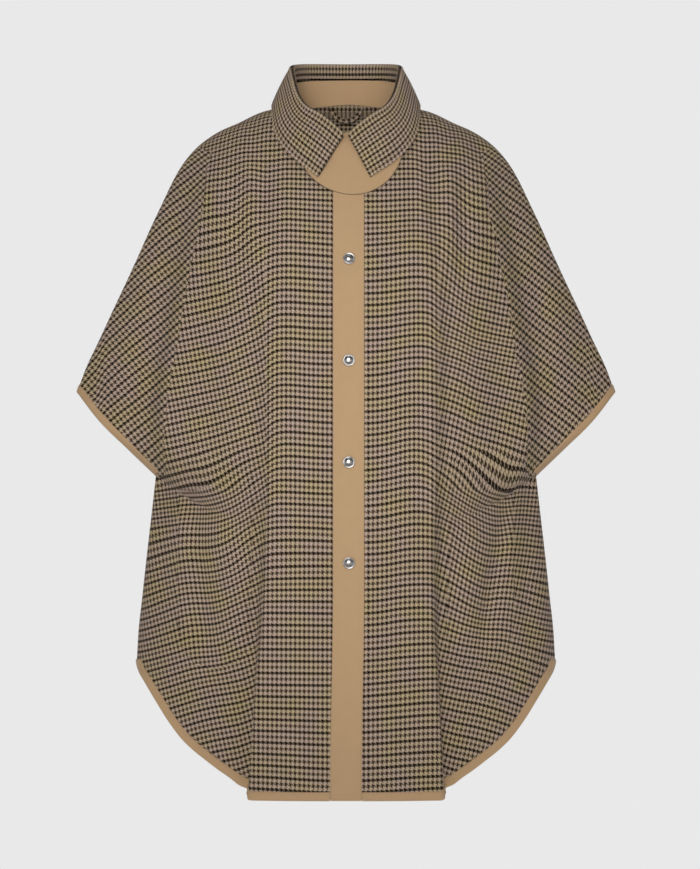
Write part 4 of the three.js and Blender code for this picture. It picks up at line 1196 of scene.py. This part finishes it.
def stitch_tree():
    tree = bpy.data.node_groups.new("stitch_row", "GeometryNodeTree")
    socket = tree.interface.new_socket
    socket("Seam line", in_out="INPUT", socket_type="NodeSocketGeometry")
    for label in ("Spacing", "Length", "Thickness"):
        socket(label, in_out="INPUT", socket_type="NodeSocketFloat")
    socket("Thread", in_out="INPUT", socket_type="NodeSocketMaterial")
    socket("Stitches", in_out="OUTPUT", socket_type="NodeSocketGeometry")
    nodes, link = tree.nodes, tree.links.new
    given = nodes.new("NodeGroupInput")
    line = nodes.new("GeometryNodeMeshToCurve")
    link(given.outputs["Seam line"], line.inputs["Mesh"])
    spaced = nodes.new("GeometryNodeResampleCurve")
    spaced.mode = "LENGTH"
    link(line.outputs["Curve"], spaced.inputs["Curve"])
    link(given.outputs["Spacing"], spaced.inputs["Length"])
    bead = nodes.new("GeometryNodeMeshUVSphere")
    bead.inputs["Segments"].default_value = 6
    bead.inputs["Rings"].default_value = 5
    bead.inputs["Radius"].default_value = 0.5
    size = nodes.new("ShaderNodeCombineXYZ")
    link(given.outputs["Length"], size.inputs["X"])
    link(given.outputs["Thickness"], size.inputs["Y"])
    link(given.outputs["Thickness"], size.inputs["Z"])
    shaped = nodes.new("GeometryNodeTransform")
    link(bead.outputs["Mesh"], shaped.inputs["Geometry"])
    link(size.outputs[0], shaped.inputs["Scale"])
    tangent = nodes.new("GeometryNodeInputTangent")
    facing = nodes.new("GeometryNodeInputNamedAttribute")
    facing.data_type = "FLOAT_VECTOR"
    facing.inputs["Name"].default_value = "facing"
    first = nodes.new("FunctionNodeAlignRotationToVector")
    first.axis = "X"
    link(tangent.outputs[0], first.inputs["Vector"])
    second = nodes.new("FunctionNodeAlignRotationToVector")
    second.axis = "Z"
    second.pivot_axis = "X"
    link(first.outputs[0], second.inputs["Rotation"])
    link(facing.outputs["Attribute"], second.inputs["Vector"])
    uneven = nodes.new("FunctionNodeRandomValue")
    uneven.data_type = "FLOAT_VECTOR"
    uneven.inputs["Min"].default_value = (0.9, 0.9, 0.9)
    uneven.inputs["Max"].default_value = (1.08, 1.1, 1.1)
    uneven.inputs["Seed"].default_value = 7
    placed = nodes.new("GeometryNodeInstanceOnPoints")
    link(spaced.outputs["Curve"], placed.inputs["Points"])
    link(shaped.outputs["Geometry"], placed.inputs["Instance"])
    link(second.outputs[0], placed.inputs["Rotation"])
    link(uneven.outputs["Value"], placed.inputs["Scale"])
    real = nodes.new("GeometryNodeRealizeInstances")
    link(placed.outputs["Instances"], real.inputs["Geometry"])
    rounded = nodes.new("GeometryNodeSetShadeSmooth")
    link(real.outputs["Geometry"], rounded.inputs["Geometry"])
    painted = nodes.new("GeometryNodeSetMaterial")
    link(rounded.outputs["Geometry"], painted.inputs["Geometry"])
    link(given.outputs["Thread"], painted.inputs["Material"])
    result = nodes.new("NodeGroupOutput")
    link(painted.outputs["Geometry"], result.inputs["Stitches"])
    return tree


tree = stitch_tree()
identifiers = {item.name: item.identifier for item in tree.interface.items_tree}


STITCH_LENGTH = 0.0030


def stitch_rows(name, lines, material, spacing, thickness):
    points, normals, edges = [], [], []
    for line, facing in lines:
        start = len(points)
        points += (np.asarray(line) * TO_METRES).tolist()
        normals += np.asarray(facing).tolist()
        edges += [(k, k + 1) for k in range(start, start + len(line) - 1)]
    mesh = bpy.data.meshes.new(name + "_line")
    mesh.from_pydata(points, edges, [])
    attribute = mesh.attributes.new("facing", "FLOAT_VECTOR", "POINT")
    attribute.data.foreach_set("vector", np.array(normals, np.float32).ravel())
    guide = bpy.data.objects.new(name + "_line", mesh)
    bpy.context.scene.collection.objects.link(guide)
    rule = guide.modifiers.new("stitches", "NODES")
    rule.node_group = tree
    for label, value in (("Spacing", spacing), ("Length", STITCH_LENGTH), ("Thickness", thickness),
                         ("Thread", material)):
        rule[identifiers[label]] = value
    evaluated = guide.evaluated_get(bpy.context.evaluated_depsgraph_get())
    sewn = bpy.data.meshes.new_from_object(evaluated)
    bpy.data.objects.remove(guide)
    sewn.name = name
    made = bpy.data.objects.new(name, sewn)
    bpy.context.scene.collection.objects.link(made)
    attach(made, "root")


# The thick brown half-moon row is partly painted shadow under that edge
for name, thread, slot, spacing, thickness in (
        ("placket", tan_thread, "tan", 0.0037, 0.0006),
        ("bindings", tan_thread, "tan", 0.0037, 0.0006),
        ("pockets", brown_thread, "check", 0.0037, 0.0005),
        ("collar", brown_thread, "check", 0.0037, 0.0005),
        ("half_moon", brown_thread, "tan", 0.0032, 0.0010)):
    stitch_rows("stitches_" + name, seam_lines[name], thread, spacing, thickness)

# Studio: pale floor below the hem, soft light from all round, and a camera at the
# photograph's angle, level with the middle of the garment and 3.5 m in front of it.
CAMERA_X = 0.0052
CAMERA_Y = -3.5
CAMERA_Z = -0.4113
VIEW_HEIGHT = 1.1297
SENSOR = 36.0
FLOOR_Z = -1.22
PALE_LEVEL = 0.815
FLOOR_RADIUS = 1.32
camera_data = bpy.data.cameras.new("camera")
camera_data.sensor_width = SENSOR
camera_data.lens = SENSOR * -CAMERA_Y / VIEW_HEIGHT
camera = bpy.data.objects.new("camera", camera_data)
camera.location = (CAMERA_X, CAMERA_Y, CAMERA_Z)
camera.rotation_euler = (math.radians(90), 0, 0)
bpy.context.scene.collection.objects.link(camera)
bpy.context.scene.camera = camera

world = bpy.data.worlds.new("studio")
bpy.context.scene.world = world
world.use_nodes = True
nodes, link = world.node_tree.nodes, world.node_tree.links.new
sky = nodes["Background"]
direction = nodes.new("ShaderNodeTexCoord")
height = nodes.new("ShaderNodeSeparateXYZ")
level = nodes.new("ShaderNodeMapRange")
level.inputs["From Min"].default_value = -1.0
shades = nodes.new("ShaderNodeValToRGB")
link(direction.outputs["Generated"], height.inputs[0])
link(height.outputs["Z"], level.inputs["Value"])
link(level.outputs["Result"], shades.inputs["Fac"])
link(shades.outputs["Color"], sky.inputs["Color"])
# From straight down to straight up: how pale the studio is there, palest about the horizon
STUDIO_SHADES = [(0.0, 0.14), (0.27, 0.2), (0.37, 0.72), (0.42, PALE_LEVEL),
                 (0.59, PALE_LEVEL), (0.63, 0.14), (1.0, 0.24)]
while len(shades.color_ramp.elements) < len(STUDIO_SHADES):
    shades.color_ramp.elements.new(0.5)
for element, (place_up, shade_there) in zip(shades.color_ramp.elements, STUDIO_SHADES):
    element.position = place_up
    element.color = (shade_there, shade_there, shade_there, 1)

floor_points = [(FLOOR_RADIUS * math.cos(t), FLOOR_RADIUS * math.sin(t), FLOOR_Z)
                for t in np.linspace(0, 2 * math.pi, 96, endpoint=False)]
floor_mesh = bpy.data.meshes.new("floor")
floor_mesh.from_pydata(floor_points, [], [list(range(len(floor_points)))])
floor_finish = Finish("floor_paint", {"Roughness": 0.9, "Base Color": (0.85, 0.85, 0.85, 1),
                                      "Emission Color": (1, 1, 1, 1), "Emission Strength": 0.3})
floor_mesh.materials.append(floor_finish.material)
floor = bpy.data.objects.new("floor", floor_mesh)
bpy.context.scene.collection.objects.link(floor)

LAMP_AIM = np.array([0, 0, -0.38])
LIGHTS = table("name x y z width height power spread", [
    ("key", -0.2, -2.2, 0.05, 0.7, 0.9, 2.02, 42),
    ("fill", 1.0, -2.4, 0.0, 1.0, 1.4, 0.3, 120),
    ("top", -0.1, -0.9, 1.4, 0.9, 0.6, 2.6, 150),
    ("back", 0.8, 2.4, 0.4, 1.2, 1.2, 14, 130)])
for name, x, y, z, width, height, power, spread in zip(*LIGHTS.values()):
    lamp_data = bpy.data.lights.new(name, "AREA")
    lamp_data.shape = "RECTANGLE"
    lamp_data.size = width
    lamp_data.size_y = height
    lamp_data.energy = power
    lamp_data.spread = math.radians(spread)
    lamp = bpy.data.objects.new(name, lamp_data)
    lamp.location = (x, y, z)
    aim = LAMP_AIM - np.array([x, y, z])
    lamp.rotation_mode = "QUATERNION"
    lamp.rotation_quaternion = mathutils.Vector(aim).to_track_quat("-Z", "Y")
    bpy.context.scene.collection.objects.link(lamp)

bpy.context.scene.view_settings.view_transform = "Standard"
